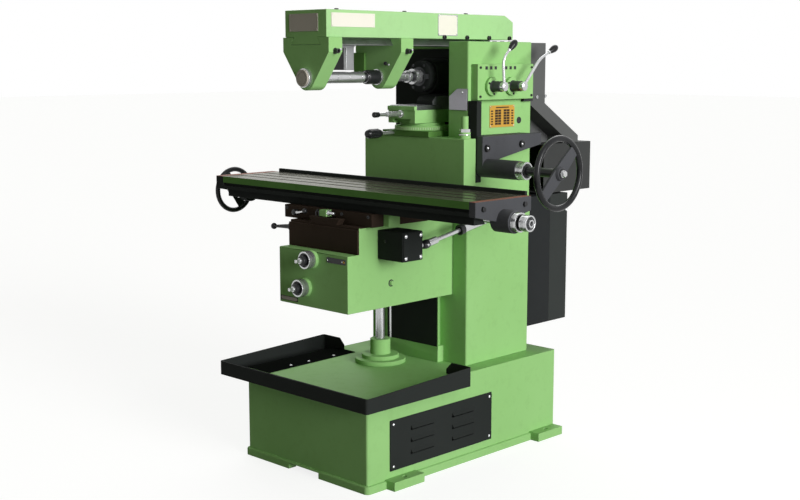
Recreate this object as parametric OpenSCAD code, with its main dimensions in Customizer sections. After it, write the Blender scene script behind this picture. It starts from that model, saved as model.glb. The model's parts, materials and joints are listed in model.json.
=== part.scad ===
// Horizontal milling machine: column and knee type, with overarm, arbor supports and a rear swivel slide.
// Millimetres. +X operator's right, +Y front to back, +Z up,
// origin at the middle of the foundation bolts.

/* [Base] */
// Width of the base casting
base_w = 600; // [560:5:680]
// Depth of the base casting, front to back
base_d = 970; // [940:5:1040]
// Height of the base up to its deck
base_h = 313; // [290:1:340]
// How far the base's middle lies in front of the bolt pattern's middle
base_shift = 35; // [20:1:50]
// Thickness of the base walls
base_wall = 24; // [16:1:30]
// How far the bolt rows stand out of the base's sides
bolt_out = 22; // [18:1:28]
// Foundation bolt spacing along the machine
bolt_span_y = 744; // [700:2:780]
// Foundation bolt hole diameter
bolt_hole_d = 18; // [14:1:22]

/* [Chip tray] */
// Width of the gutter round the base
gutter_w = 68; // [50:1:80]
// Height of the tray wall
tray_h = 48; // [40:1:60]
// Tray sheet thickness
tray_t = 3; // [2:0.5:5]
// Length of the tray, front to back
tray_len = 490; // [440:5:540]
// How far the tray's end plates rise above its wall
tray_rise = 17; // [10:1:24]

/* [Column] */
// Width of the column
column_w = 468; // [450:2:500]
// Depth of the column
column_d = 341; // [320:1:380]
// Height of the column above the deck
column_h = 1123; // [1100:1:1180]
// Distance from the bolt pattern's middle back to the column's front
column_y = 26; // [10:1:40]
// Wall thickness of the column
column_wall = 24; // [16:1:30]
// Height of the ledge that carries the rear bed, above the deck
ledge_h = 617; // [605:1:640]
// Depth of the recess above the ledge
recess_d = 129; // [120:1:140]
// Width of the housing that stays at the recess's right side
housing_w = 90; // [80:1:100]
// Spindle axis below the column's top
axis_drop = 120; // [110:1:130]
// Half width of the column's dovetail way at its front
way_half = 127; // [115:1:132]
// How far the dovetail way stands out of the column
way_out = 31; // [26:1:36]

/* [Overarm] */
// Width of the overarm
arm_w = 200; // [180:2:215]
// Height of the overarm
arm_h = 87; // [80:1:100]
// Length of the overarm
arm_len = 922; // [880:2:960]
// How far the overarm reaches in front of the column
arm_reach = 524; // [490:2:550]
// Thickness of an arbor support, front to back
support_t = 58; // [45:1:70]
// Arbor diameter
arbor_d = 27; // [22:1:32]

/* [Knee] */
// Width of the knee
knee_w = 338; // [320:2:360]
// Length of the knee in front of the column
knee_len = 504; // [490:2:530]
// Depth of the step in the knee's front
knee_step = 51; // [40:1:60]
// Height of the knee's underside above the deck
knee_rise = 247; // [235:1:260]
// Height of the knee's lower part
knee_low_h = 190; // [180:1:200]
// Height of the knee's upper part
knee_up_h = 88; // [80:1:95]
// Elevating screw diameter
lift_screw_d = 32; // [26:1:38]

/* [Saddle and table] */
// Height of the saddle
saddle_h = 44; // [42:1:50]
// Length of the saddle, front to back
saddle_d = 265; // [250:1:275]
// Table length between its end brackets
table_len = 1188; // [1100:4:1260]
// Depth of the table, front to back
table_d = 265; // [255:1:280]
// Thickness of the table's top slab
slab_h = 46; // [44:1:52]
// Distance from the column's front to the table's middle
table_reach = 293; // [285:1:305]
// Table middle to the right of the spindle
table_x = 20; // [0:1:40]
// Width of a T-slot's neck
slot_w = 14; // [10:1:16]
// Distance between T-slots
slot_pitch = 63; // [50:1:70]
// Lead screw diameter
lead_screw_d = 26; // [20:1:28]
// Diameter of the left handwheel
left_wheel_d = 172; // [150:2:190]

/* [Rear slide] */
// Height of the rear bed
bed_h = 180; // [170:1:190]
// How far the rear bed stands in front of the column
bed_out = 61; // [50:1:66]
// Swivel base diameter
swivel_d = 196; // [180:2:200]
// Top slide width
slide_w = 130; // [110:2:140]
// Top slide length
slide_len = 180; // [170:2:188]
// Diameter of the large handwheel
rear_wheel_d = 248; // [220:2:250]
// Distance from the spindle plane to the large handwheel
rear_wheel_x = 600; // [560:2:640]

/* [Drive] */
// Spindle pulley diameter
spindle_pulley_d = 170; // [150:2:180]
// Motor pulley diameter
motor_pulley_d = 100; // [80:2:110]
// Motor body diameter
motor_d = 146; // [130:2:150]
// Belt guard sheet thickness
guard_t = 4; // [2:0.5:6]

/* [Hidden] */
$fn = 64;

// Paint and metal colours
green = [0.53, 0.77, 0.42];
deep_green = [0.30, 0.47, 0.22];
dark = [0.16, 0.17, 0.18];
grey = [0.32, 0.33, 0.34];
silver = [0.78, 0.79, 0.80];
bronze = [0.72, 0.54, 0.26];
yellow = [0.90, 0.72, 0.20];

// Clearances: sliding flats, running shafts, parts that only pass, and cut overrun
slide_gap = 0.1;
run_gap = 0.05;
pass_gap = 2;
seat_gap = 0.3;
overrun = 1;

// Shared levels
column_back = column_y + column_d;
column_top = base_h + column_h;
ledge_z = base_h + ledge_h;
head_y = column_y + recess_d;
axis_z = column_top - axis_drop;
housing_x = column_w / 2 - housing_w;
knee_z0 = base_h + knee_rise;
knee_z1 = knee_z0 + knee_low_h;
knee_z2 = knee_z1 + knee_up_h;
knee_front = column_y - knee_len;
step_y = knee_front + knee_step;
saddle_z0 = knee_z2 + slide_gap;
saddle_z1 = knee_z2 + saddle_h;
table_y = column_y - table_reach;
table_z0 = saddle_z1 + slide_gap;
table_low_h = 28;
slab_z0 = saddle_z1 + table_low_h;
table_top = slab_z0 + slab_h;
table_front = table_y - table_d / 2;
table_back = table_y + table_d / 2;
table_x0 = table_x - table_len / 2;
table_x1 = table_x + table_len / 2;

// Base details
base_corner_r = 8;
deck_t = 22;
foot_flare = 9;
foot_h = 26;
arch_h = 20;
arch_gap_share = 0.25;
lug_w = 140;
lug_h = 30;
lug_margin = 23;
base_front = -base_shift - base_d / 2;
bolt_span_x = base_w + 2 * bolt_out;

// Tray details
end_over = 44;
end_cut = 24;

// Vent panel details
vent_t = 4;
vent_front = 100;
vent_y0 = base_front + vent_front;
vent_len = 505;
vent_z0 = 52;
vent_h = 170;
vent_edge = 26;
louvre_len = 112;
louvre_h = 13;
louvre_out = 9;
louvre_row_shares = [0.26, 0.5, 0.74];
louvre_col_shares = [0.3, 0.7];
screw_head_r = 7;
screw_head_h = 5;
vent_screw_inset = 14;

// Elevating screw and nut pedestal
lift_x = -35;
lift_reach = 156;
lift_y = column_y - lift_reach;
lift_r = lift_screw_d / 2;
pedestal_flange_r = 90;
pedestal_flange_h = 16;
pedestal_step_r = 66;
pedestal_step_h = 14;
pedestal_collar_r = 36;
pedestal_h = 84;
nut_r = 26;
nut_h = 62;
lift_low = 120;
lift_head_r = 22;

// Column details
column_corner_r = 6;
way_taper = 18;
way_foot = 24;
way_z0 = base_h + way_foot;
way_drop = 6;
way_z1 = ledge_z - way_drop;
cover_margin = 2;
cover_half = way_half - cover_margin;
cover_t = 3;
cover_foot = 56;
cover_z0 = base_h + cover_foot;
nose_r = 62;
nose_out = 92;
bearing_front_r = 46;
bearing_front_len = 52;
bearing_rear_r = 44;
bearing_rear_len = 34;
spindle_r = 32;
rear_boss_len = 22;
arm_dove_h = 24;
arm_dove_top = 58;
arm_dove_low = 72;
arm_lift = 9;
arm_dove_mid = arm_dove_top + (arm_dove_low - arm_dove_top) * arm_lift / arm_dove_h;
top_wall = 48;
front_plate_t = 4;

// Right side of the column: gear panel, levers, speed plate
panel_t = 30;
panel_back = 15;
panel_y0 = column_y + panel_back;
panel_len = 300;
panel_drop = 78;
panel_z0 = axis_z - panel_drop;
panel_h = 122;
panel_screw_inset = 11;
hub_drop = 32;
hub_z = axis_z - hub_drop;
hub_front_back = 83;
hub_front_y = column_y + hub_front_back;
hub_rear_back = 187;
hub_rear_y = column_y + hub_rear_back;
hub_flange_r = 32;
hub_flange_h = 12;
hub_boss_r = 18;
hub_boss_h = 38;
lever_r = 6;
lever_hub_r = 16;
lever_hub_h = 18;
lever_front_elbow = [-8, 93];
lever_front_tip = [33, 130];
lever_rear_elbow = [86, 92];
lever_rear_tip = [150, 121];
elbow_r = 7.5;
knob_r = 15;
knob_mid_r = 14;
knob_len = 30;
plate_t = 2;
plate_back = 112;
plate_y0 = column_y + plate_back;
plate_len = 134;
plate_drop = 175;
plate_z0 = axis_z - plate_drop;
plate_h = 76;
duct_w = 40;
duct_d = 24;
duct_h = 276;
duct_rise = 30;
duct_z0 = ledge_z + duct_rise;

// Overarm details
arm_z0 = column_top + arm_lift;
arm_z1 = arm_z0 + arm_h;
arm_front = column_y - arm_reach;
arm_back = arm_front + arm_len;
arm_wall = 18;
arm_chamfer = 46;
dove_short = 24;
dove_back = column_back - dove_short;
support_half = 110;
shoulder_h = 46;
nose_clamp_r = 40;
support_pitch = 326;
support_rear_y = arm_front + support_pitch;
clamp_bolt_r = 12;
clamp_bolt_len = 20;
rear_bush_r = 24;
rear_bush_len = 62;
arm_bolt_r = 8;
arm_bolt_h = 14;
arm_bolt_count = 4;

// Spindle and arbor details
arbor_r = arbor_d / 2;
nose_ring_r = 54;
nose_ring_len = 34;
nose_ring_gap = 6;
spindle_tail = 84;
arbor_tail = 18;
collar_r = 23;
collar_len = 18;
collar_count = 3;
collar_step = 0.9;

// Rear drive details
guard_x0 = -120;
guard_inset = 9;
guard_x1 = column_w / 2 - guard_inset;
guard_core_x = 150;
guard_y0 = column_back;
guard_d = 93;
guard_drop = 2;
guard_top = column_top - guard_drop;
bend_drop = 218;
guard_bend_z = column_top - bend_drop;
slope_back = 299;
guard_slope_y = column_back + slope_back;
slope_drop = 343;
guard_slope_z = column_top - slope_drop;
motor_cover_back = 380;
cover_y1 = column_back + motor_cover_back;
motor_cover_drop = 550;
cover_low = column_top - motor_cover_drop;
motor_cover_top_drop = 369;
cover_top = column_top - motor_cover_top_drop;
pulley_back = 26;
pulley_y = column_back + pulley_back;
pulley_w = 44;
groove_d = 9;
groove_w = 13;
groove_count = 2;
belt_w = 11;
belt_t = 8;
belt_seat = 0.4;
motor_rise = 92;
motor_z = cover_low + motor_rise;
motor_back = 112;
motor_y0 = column_back + motor_back;
motor_len = 236;
motor_shaft_r = 14;
motor_foot_half = 62;
shaft_engage = 30;
guard_hole_r = 40;
cabinet_x0 = -150;
cabinet_d = 135;
cabinet_y1 = column_back + cabinet_d;
door_back = 241;
door_y1 = column_back + door_back;
cabinet_rise = 87;
cabinet_z0 = base_h + cabinet_rise;
cabinet_top_gap = 6;
cabinet_z1 = cover_low - cabinet_top_gap;
door_gap = 0.3;
relay_size = [120, 40, 160];

// Knee details
knee_wall = 26;
knee_gap = 1;
knee_rear = column_y - knee_gap;
groove_y = column_y - way_out - slide_gap;
rail_half_low = 62;
rail_half_top = 76;
rail_h = 20;
rail_y0 = step_y;
rail_short = 96;
rail_y1 = column_y - rail_short;
nut_slot_half = 34;
nut_slot_front = 150;
nut_slot_y0 = table_y - nut_slot_front;
nut_slot_back = 96;
nut_slot_y1 = table_y + nut_slot_back;
cross_x = 0;
cross_drop = 26;
cross_z = knee_z1 - cross_drop;
vertical_x = lift_x;
vertical_rise = 66;
vertical_z = knee_z0 + vertical_rise;
crank_boss_r = 31;
crank_boss_len = 12;
crank_r = 13;
dial_r = 29;
dial_len = 26;
crank_tip_r = 15;
crank_tip_len = 22;
crank_out = 86;
cross_rear_r = 9;
cross_rear_len = 24;
sleeve_r = 34;
sleeve_len = 42;
pinion_r = 25;
gear_r = 35;
gear_face_len = 14;
mesh_gap = 0.5;
apron_t = 7;
apron_h = 80;
feed_out = 28;
feed_x = column_w / 2 + feed_out;
gearbox_out = 22;
gearbox_w = feed_x + gearbox_out - knee_w / 2;
gearbox_d = 93;
gearbox_h = 96;
gearbox_reach = 369;
gearbox_y0 = column_y - gearbox_reach;
gearbox_drop = 22;
gearbox_z0 = knee_z1 - gearbox_drop;
gearbox_screw_inset = 11;
plug_r = 15;
plug_h = 9;
plug_reach = 305;
plug_y = column_y - plug_reach;
plug_rise = 78;
plug_z = knee_z0 + plug_rise;
sight_w = 66;
sight_h = 22;
sight_t = 3;
sight_x = 62;
sight_drop = 42;
sight_z = knee_z1 - sight_drop;
clamp_lug_w = 34;
clamp_lug_back = 34;
clamp_lug_y = step_y + clamp_lug_back;
clamp_lug_len = 40;
clamp_drop = 30;
clamp_z = knee_z2 - clamp_drop;
clamp_pivot_r = 14;
clamp_pivot_len = 24;
clamp_arm_r = 6;
clamp_arm_len = 96;
clamp_ball_r = 11;

// Saddle details
saddle_x0 = -230;
saddle_x1 = 200;
saddle_rail_low = 56;
saddle_rail_top = 70;
saddle_rail_h = 20;
channel_half = 19;
lead_rise = 8;
lead_z = saddle_z1 + lead_rise;
lead_r = lead_screw_d / 2;
channel_drop = 18;
channel_low = lead_z - channel_drop;
channel_rise = 20;
channel_top = lead_z + channel_rise;
cross_nut_half = 27;
cross_nut_len = 60;
lead_nut_len = 90;
lug_t = 26;
lug_len = 52;
stop_w = 34;
stop_d = 24;
stop_x = -26;
lock_x = -165;
lock_r = 10;
lock_len = 20;
lock_arm_r = 5;
lock_arm_len = 62;
lock_ball_r = 9;

// Table details
low_margin = 24;
slot_depth = 24;
slot_foot_w = 24;
slot_foot_h = 11;
slot_count = 3;
dog_rise = 12;
dog_h = 10;
dog_d = 9;
strip_t = 12;
strip_h = 40;
strip_rise = 12;
bracket_t = 26;
left_bracket_t = 40;
bracket_boss_r = 36;
bracket_boss_len = 46;
bracket_bolt_r = 8;
bracket_bolt_h = 8;
bracket_bolt_inset = 34;
wheel_hub_r = 22;
wheel_rim_r = 9;
wheel_gap = 64;
spoke_w = 26;
spoke_t = 10;
hub_len = 34;
left_dial_r = 30;
left_dial_len = 24;
right_dial_r = 36;
right_dial_len = 30;
clutch_r = 20;
clutch_len = 40;
clutch_slot = 8;
screw_out = 12;
left_lean = 30;

// Rear bed and slides
bed_inset = 27;
bed_x0 = bed_inset - column_w / 2;
bed_over = 37;
bed_x1 = column_w / 2 + bed_over;
bed_z1 = ledge_z + bed_h;
bed_wall = 22;
post_inset = 24;
post_r = 12;
post_h = 76;
post_nut_r = 20;
post_nut_h = 22;
bed_slot_half = 26;
bed_slot_x0 = -150;
bed_slot_x1 = 100;
rear_axis_back = 29;
rear_axis_y = column_y + rear_axis_back;
rear_axis_rise = 80;
rear_axis_z = ledge_z + rear_axis_rise;
rear_screw_r = 11;
housing_bore_r = 16;
side_bracket_gap = 4;
bracket_x0 = bed_x1 + side_bracket_gap;
side_bracket_t = 26;
bracket_x1 = bracket_x0 + side_bracket_t;
side_bracket_back = 318;
bracket_y1 = column_y + side_bracket_back;
side_bracket_rise = 188;
bracket_top_z = ledge_z + side_bracket_rise;
bracket_band = 80;
side_boss_r = 32;
side_boss_len = 140;
side_foot_back = 40;
side_foot_y0 = column_y + side_foot_back;
side_bolt_r = 8;
rear_dial_r = 34;
rear_dial_len = 30;
rear_rim_r = 10;
rear_hub_r = 26;
rear_hub_len = 46;
rear_nut_r = 15;
rear_nut_len = 16;
rear_lean = -48;
swivel_x = 0;
swivel_back = 22;
swivel_y = column_y + swivel_back;
carriage_w = 224;
carriage_d = 176;
carriage_h = 20;
carriage_nut_half = 22;
carriage_nut_len = 70;
swivel_h = 26;
swivel_step_h = 10;
swivel_step_r = 80;
swivel_pin_r = 18;
swivel_pin_h = 12;
slide_rail_low = 34;
slide_rail_top = 44;
slide_rail_h = 14;
slide_h = 46;
slide_front = 106;
slide_y0 = swivel_y - slide_front;
slide_screw_r = 7;
slide_crank_out = 70;
slide_tip_r = 9;
slide_tip_len = 26;
slide_dial_r = 15;
slide_dial_len = 18;
slide_screw_share = 0.55;
knob_pos_x = -58;
lock_knob_r = 17;
lock_knob_len = 20;
lock_stem_r = 6;
lock_stem_len = 26;
guard_box_w = 78;
guard_box_d = 84;
guard_box_h = 46;
guard_box_chamfer = 16;

// Feed shaft between knee gearbox and column
feed_rear_back = 199;
feed_rear_y = column_y + feed_rear_back;
feed_rear_drop = 77;
feed_rear_z = ledge_z - feed_rear_drop;
feed_front_gap = 35;
feed_front_y = gearbox_y0 + gearbox_d + feed_front_gap;
feed_front_rise = 44;
feed_front_z = gearbox_z0 + feed_front_rise;
feed_dy = feed_rear_y - feed_front_y;
feed_dz = feed_rear_z - feed_front_z;
feed_angle = atan2(feed_dz, feed_dy);
feed_len = sqrt(feed_dy * feed_dy + feed_dz * feed_dz);
sleeve_out_r = 16;
sleeve_bore_r = 12;
sleeve_share = 0.62;
rod_r = 7.5;
rod_share = 0.68;
yoke_r = 17;
yoke_gap = 14;
stub_r = 10;
output_w = 54;
output_d = 60;
output_h = 70;

// Shared shape helpers
module box(lo, hi) translate(lo) cube(hi - lo);
module rod_x(x0, x1, y, z, r) translate([x0, y, z]) rotate([0, 90, 0]) cylinder(h = x1 - x0, r = r);
module rod_y(x, y0, y1, z, r) translate([x, y0, z]) rotate([-90, 0, 0]) cylinder(h = y1 - y0, r = r);
module rod_z(x, y, z0, z1, r) translate([x, y, z0]) cylinder(h = z1 - z0, r = r);
module prism_x(x0, x1, points)
    translate([x0, 0, 0]) rotate([90, 0, 90]) linear_extrude(x1 - x0) polygon(points);
module prism_y(y0, y1, points)
    translate([0, y1, 0]) rotate([90, 0, 0]) linear_extrude(y1 - y0) polygon(points);
module prism_z(z0, z1, points) translate([0, 0, z0]) linear_extrude(z1 - z0) polygon(points);

// A round bar from one point to another
module bar(p, q, r) {
    d = q - p;
    translate(p) rotate([0, acos(d.z / norm(d)), atan2(d.y, d.x)]) cylinder(h = norm(d), r = r);
}

// A rectangle with round corners, centred on its place
module round_plan(w, d, r) {
    square([w - 2 * r, d], center = true);
    square([w, d - 2 * r], center = true);
    for (sx = [-1, 1], sy = [-1, 1]) translate([sx * (w / 2 - r), sy * (d / 2 - r)]) circle(r);
}

// A dovetail outline in its own plane: narrow at the root, wide at the face
function dovetail(root, face, depth) = [[-root, 0], [root, 0], [face, depth], [-face, depth]];

// The groove that slides on a dovetail: its flanks stand off by the sliding clearance, its floor by extra
function groove(root, face, depth, extra) =
    dovetail(root + slide_gap, face + slide_gap + (face - root) * extra / depth, depth + extra);

module base_plan(grow) {
    corner = max(base_corner_r + grow, base_corner_r / 2);
    translate([0, -base_shift]) round_plan(base_w + 2 * grow, base_d + 2 * grow, corner);
}

module foot_lugs() {
    lug_x = bolt_span_x / 2 + lug_margin;
    for (sx = [-1, 1], sy = [-1, 1]) {
        y = sy * bolt_span_y / 2;
        x0 = min(sx * lug_x, sx * (base_w / 2 - base_wall));
        x1 = max(sx * lug_x, sx * (base_w / 2 - base_wall));
        box([x0, y - lug_w / 2, 0], [x1, y + lug_w / 2, lug_h]);
    }
}

module base_casting() color(green) difference() {
    union() {
        linear_extrude(base_h) base_plan(0);
        linear_extrude(foot_h) base_plan(foot_flare);
        foot_lugs();
    }
    difference() {
        translate([0, 0, -overrun]) linear_extrude(base_h - deck_t + overrun) base_plan(-base_wall);
        foot_lugs();
    }
    arch_x = base_w * arch_gap_share / 2;
    reach_y = base_d / 2 + base_shift + foot_flare + overrun;
    box([-arch_x, -reach_y, -overrun], [arch_x, reach_y, arch_h]);
    for (sx = [-1, 1], sy = [-1, 1])
        rod_z(sx * bolt_span_x / 2, sy * bolt_span_y / 2, -overrun, lug_h + foot_h, bolt_hole_d / 2);
    box([base_w / 2 - base_wall - overrun, vent_y0 + vent_edge, vent_z0 + vent_edge],
        [base_w / 2 + overrun, vent_y0 + vent_len - vent_edge, vent_z0 + vent_h - vent_edge]);
    rod_z(lift_x, lift_y, base_h - deck_t - overrun, base_h + overrun, nut_r + pass_gap);
}

// The gutter runs along the front and both sides of the base
module tray_plan(inset) {
    w = base_w + 2 * gutter_w - 2 * inset;
    d = tray_len - 2 * inset;
    translate([0, base_front - gutter_w + tray_len / 2]) round_plan(w, d, base_corner_r - inset);
}

// Each gutter's rear end is closed by a higher plate that reaches over the deck with a cut corner,
// and the side wall rises towards it
module tray_end(side) {
    back = base_front - gutter_w + tray_len;
    low = base_h + tray_h / 2;
    x0 = base_w / 2 - end_over;
    x1 = base_w / 2 + gutter_w - base_corner_r;
    points = [[x0, base_h], [x0, low + tray_rise - end_cut], [x0 + end_cut, low + tray_rise],
        [x1, low + tray_rise],
        [x1, low - tray_t], [base_w / 2 + tray_t, low - tray_t], [base_w / 2 + tray_t, base_h]];
    prism_y(back - tray_t, back, [for (p = points) [side * p.x, p.y]]);
    front = base_front - gutter_w + base_corner_r;
    top = back - base_corner_r;
    wall_x = side * (base_w / 2 + gutter_w - tray_t / 2) - tray_t / 2;
    prism_x(wall_x, wall_x + tray_t, [[front, low], [top, low + tray_rise], [top, low - tray_t],
        [front, low - tray_t]]);
    translate([0, 0, low - tray_t]) linear_extrude(tray_rise + tray_t) intersection() {
        difference() {
            tray_plan(0);
            tray_plan(tray_t);
        }
        translate([side * base_w / 2 + (side - 1) * gutter_w / 2, back - 2 * base_corner_r])
            square([gutter_w, 2 * base_corner_r]);
    }
}

module chip_tray() color(dark) {
    tray_z0 = base_h - tray_h / 2;
    for (side = [-1, 1]) tray_end(side);
    difference() {
        translate([0, 0, tray_z0]) linear_extrude(tray_h) difference() {
            tray_plan(0);
            base_plan(0);
        }
        translate([0, 0, tray_z0 + tray_t]) linear_extrude(tray_h) difference() {
            tray_plan(tray_t);
            base_plan(tray_t);
        }
        translate([0, 0, base_h]) linear_extrude(tray_h) intersection() {
            tray_plan(tray_t);
            base_plan(tray_t + overrun);
        }
    }
}

module louvre(y, z) {
    x = base_w / 2 + vent_t;
    root = base_w / 2 + vent_t / 2;
    prism_y(y - louvre_len / 2, y + louvre_len / 2, [[root, z], [x + louvre_out, z], [x, z + louvre_h],
        [root, z + louvre_h]]);
}

module vent_panel() color(dark) {
    x = base_w / 2;
    difference() {
        box([x, vent_y0, vent_z0], [x + vent_t, vent_y0 + vent_len, vent_z0 + vent_h]);
        for (c = louvre_col_shares, r = louvre_row_shares) {
            y = vent_y0 + c * vent_len;
            z = vent_z0 + r * vent_h;
            box([x - overrun, y - louvre_len / 2, z - louvre_h / 2],
                [x + vent_t + overrun, y + louvre_len / 2, z]);
        }
    }
    for (c = louvre_col_shares, r = louvre_row_shares) louvre(vent_y0 + c * vent_len,
        vent_z0 + r * vent_h);
}

// All screw heads that stay on the frame: vent panel, gear panel, side bracket and overarm clamps
module frame_screws() color(silver) {
    x = base_w / 2 + vent_t;
    for (y = [vent_y0 + vent_screw_inset, vent_y0 + vent_len - vent_screw_inset],
         z = [vent_z0 + vent_screw_inset, vent_z0 + vent_h - vent_screw_inset])
        rod_x(x, x + screw_head_h, y, z, screw_head_r);
    px = column_w / 2 + panel_t;
    for (y = [panel_y0 + panel_screw_inset, panel_y0 + panel_len - panel_screw_inset],
         z = [panel_z0 + panel_screw_inset, panel_z0 + panel_h - panel_screw_inset])
        rod_x(px, px + screw_head_h, y, z, screw_head_r);
    for (y = [side_foot_y0 + bracket_band, bracket_y1 - bracket_band])
        rod_x(bracket_x1, bracket_x1 + screw_head_h, y, bracket_top_z - bracket_band / 2, side_bolt_r);
    for (i = [1:arm_bolt_count]) {
        y = head_y + (column_back - head_y) * i / (arm_bolt_count + 1);
        rod_z((arm_w + column_w) / 4, y, column_top, column_top + arm_bolt_h, arm_bolt_r);
    }
}

module nut_pedestal() color(green) difference() {
    union() {
        rod_z(lift_x, lift_y, base_h, base_h + pedestal_flange_h, pedestal_flange_r);
        rod_z(lift_x, lift_y, base_h, base_h + pedestal_flange_h + pedestal_step_h, pedestal_step_r);
        rod_z(lift_x, lift_y, base_h, base_h + pedestal_h, pedestal_collar_r);
    }
    rod_z(lift_x, lift_y, base_h - overrun, base_h + nut_h, nut_r + run_gap);
    rod_z(lift_x, lift_y, base_h, base_h + pedestal_h + overrun, lift_r + pass_gap);
}

module elevating_nut() color(bronze) difference() {
    rod_z(lift_x, lift_y, base_h, base_h + nut_h, nut_r);
    rod_z(lift_x, lift_y, base_h - overrun, base_h + nut_h + overrun, lift_r + run_gap);
}

module column_body() {
    half = column_w / 2;
    mid_y = (column_y + column_back) / 2;
    translate([0, mid_y, base_h]) linear_extrude(ledge_h) round_plan(column_w, column_d, column_corner_r);
    translate([0, (head_y + column_back) / 2, base_h]) linear_extrude(column_h)
        round_plan(column_w, column_d - recess_d, column_corner_r);
    box([housing_x, column_y, base_h], [half - column_corner_r, head_y + column_wall, column_top]);
    box([housing_x, column_y + column_corner_r, base_h], [half, head_y + column_wall, column_top]);
    rod_z(half - column_corner_r, column_y + column_corner_r, base_h, column_top, column_corner_r);
    translate([0, column_y, way_z0]) linear_extrude(way_z1 - way_z0) mirror([0, 1, 0])
        polygon(dovetail(way_half - way_taper, way_half, way_out));
    rod_y(0, head_y - nose_out, head_y + column_wall, axis_z, nose_r);
    rod_y(0, column_back - column_wall - rear_boss_len, column_back, axis_z,
        bearing_rear_r + column_wall);
}

module column() color(green) difference() {
    column_body();
    wall = column_wall;
    half = column_w / 2 - wall;
    difference() {
        union() {
            box([-half, column_y + wall, base_h - overrun], [half, column_back - wall, ledge_z - wall]);
            box([-half, head_y + wall, ledge_z - wall - overrun],
                [half, column_back - wall, column_top - top_wall]);
        }
        rod_y(0, head_y, head_y + 2 * wall, axis_z, nose_r);
        rod_y(0, column_back - wall - rear_boss_len, column_back, axis_z, bearing_rear_r + wall);
    }
    rod_y(0, head_y - nose_out - overrun, column_back + overrun, axis_z, spindle_r + pass_gap);
    rod_y(0, head_y - nose_out - overrun, head_y - nose_out + nose_ring_gap + bearing_front_len, axis_z,
        bearing_front_r);
    rod_y(0, column_back - bearing_rear_len, column_back + overrun, axis_z, bearing_rear_r);
    translate([0, column_back + overrun, column_top]) rotate([90, 0, 0])
        linear_extrude(column_back + 2 * overrun - column_y) mirror([0, 1])
        polygon(groove(arm_dove_mid, arm_dove_low, arm_dove_h - arm_lift, slide_gap));
    rod_x(housing_x - overrun, column_w / 2 + overrun, rear_axis_y, rear_axis_z, housing_bore_r);
    box([-cover_half, column_y - way_out - overrun, cover_z0],
        [cover_half, column_y - way_out + cover_t, way_z1]);
}

module way_cover() color(dark)
    box([-cover_half, column_y - way_out, cover_z0], [cover_half, column_y - way_out + cover_t, way_z1]);

// Dark sheet of the head: the plate behind the spindle nose, and a duct up the right front edge
module spindle_cover() color(dark) {
    difference() {
        box([-column_w / 2, head_y - front_plate_t, bed_z1],
            [housing_x, head_y, column_top - arm_dove_h]);
        rod_y(0, head_y - front_plate_t - overrun, head_y + overrun, axis_z, nose_r + slide_gap);
    }
    difference() {
        box([column_w / 2, column_y, duct_z0],
            [column_w / 2 + duct_w, column_y + duct_d, duct_z0 + duct_h]);
        rod_x(column_w / 2 - overrun, column_w / 2 + duct_w + overrun, rear_axis_y, rear_axis_z,
            housing_bore_r);
    }
}

module gear_panel() color(green)
    box([column_w / 2, panel_y0, panel_z0],
        [column_w / 2 + panel_t, panel_y0 + panel_len, panel_z0 + panel_h]);

module speed_plate() color(yellow)
    box([column_w / 2, plate_y0, plate_z0],
        [column_w / 2 + plate_t, plate_y0 + plate_len, plate_z0 + plate_h]);

module lever_hubs() color(deep_green) for (y = [hub_front_y, hub_rear_y]) {
    x = column_w / 2 + panel_t;
    rod_x(x, x + hub_flange_h, y, hub_z, hub_flange_r);
    rod_x(x, x + hub_flange_h + hub_boss_h, y, hub_z, hub_boss_r);
}

// A speed lever: hub cap, bent rod and oval knob; its pivot is the hub's axis
module speed_lever(y, bend, tip) {
    x0 = column_w / 2 + panel_t + hub_flange_h + hub_boss_h + slide_gap;
    xm = x0 + lever_hub_h / 2;
    elbow = [xm, y + bend.x, hub_z + bend.y];
    knob = [xm, y + tip.x, hub_z + tip.y];
    dir = (knob - elbow) / norm(knob - elbow);
    rod_x(x0, x0 + lever_hub_h, y, hub_z, lever_hub_r);
    bar([xm, y, hub_z], elbow, lever_r);
    translate(elbow) sphere(elbow_r);
    bar(elbow, knob, lever_r);
    bar(knob, knob + dir * knob_len, knob_mid_r);
    translate(knob) sphere(knob_r);
    translate(knob + dir * knob_len) sphere(knob_r);
}

module speed_lever_front() color(silver) speed_lever(hub_front_y, lever_front_elbow, lever_front_tip);

module speed_lever_rear() color(silver) speed_lever(hub_rear_y, lever_rear_elbow, lever_rear_tip);

// Belt guard: a flat box behind the column whose right side carries a bent raised channel
function guard_core() = [[guard_y0, cover_low], [guard_y0, guard_top], [guard_y0 + guard_d, guard_top],
    [guard_y0 + guard_d, guard_bend_z], [guard_slope_y, guard_slope_z], [guard_slope_y, cover_top],
    [guard_y0 + guard_d, cover_top], [guard_y0 + guard_d, cover_low]];

function guard_band() = [[guard_y0, guard_bend_z], [guard_y0, guard_top], [guard_y0 + guard_d, guard_top],
    [guard_y0 + guard_d, guard_bend_z], [guard_slope_y, guard_slope_z], [guard_slope_y, cover_top],
    [guard_slope_y - guard_d, cover_top], [guard_slope_y - guard_d, guard_slope_z]];

module belt_guard() color(grey) difference() {
    union() {
        prism_x(guard_x0, guard_core_x, guard_core());
        prism_x(guard_core_x, guard_x1, guard_band());
    }
    box([guard_x0 + guard_t, guard_y0 - overrun, cover_low - overrun],
        [guard_core_x - guard_t, guard_y0 + guard_d - guard_t, guard_top - guard_t]);
    rod_y(0, guard_y0, guard_y0 + guard_d + overrun, motor_z, guard_hole_r);
    inner = [[guard_y0 + guard_d + guard_t, cover_top - overrun],
        [guard_y0 + guard_d + guard_t, guard_bend_z - 3 * guard_t],
        [guard_slope_y - guard_t, guard_slope_z - guard_t], [guard_slope_y - guard_t,
            cover_top - overrun]];
    prism_x(guard_x0 + guard_t, guard_core_x - guard_t, inner);
}

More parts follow.
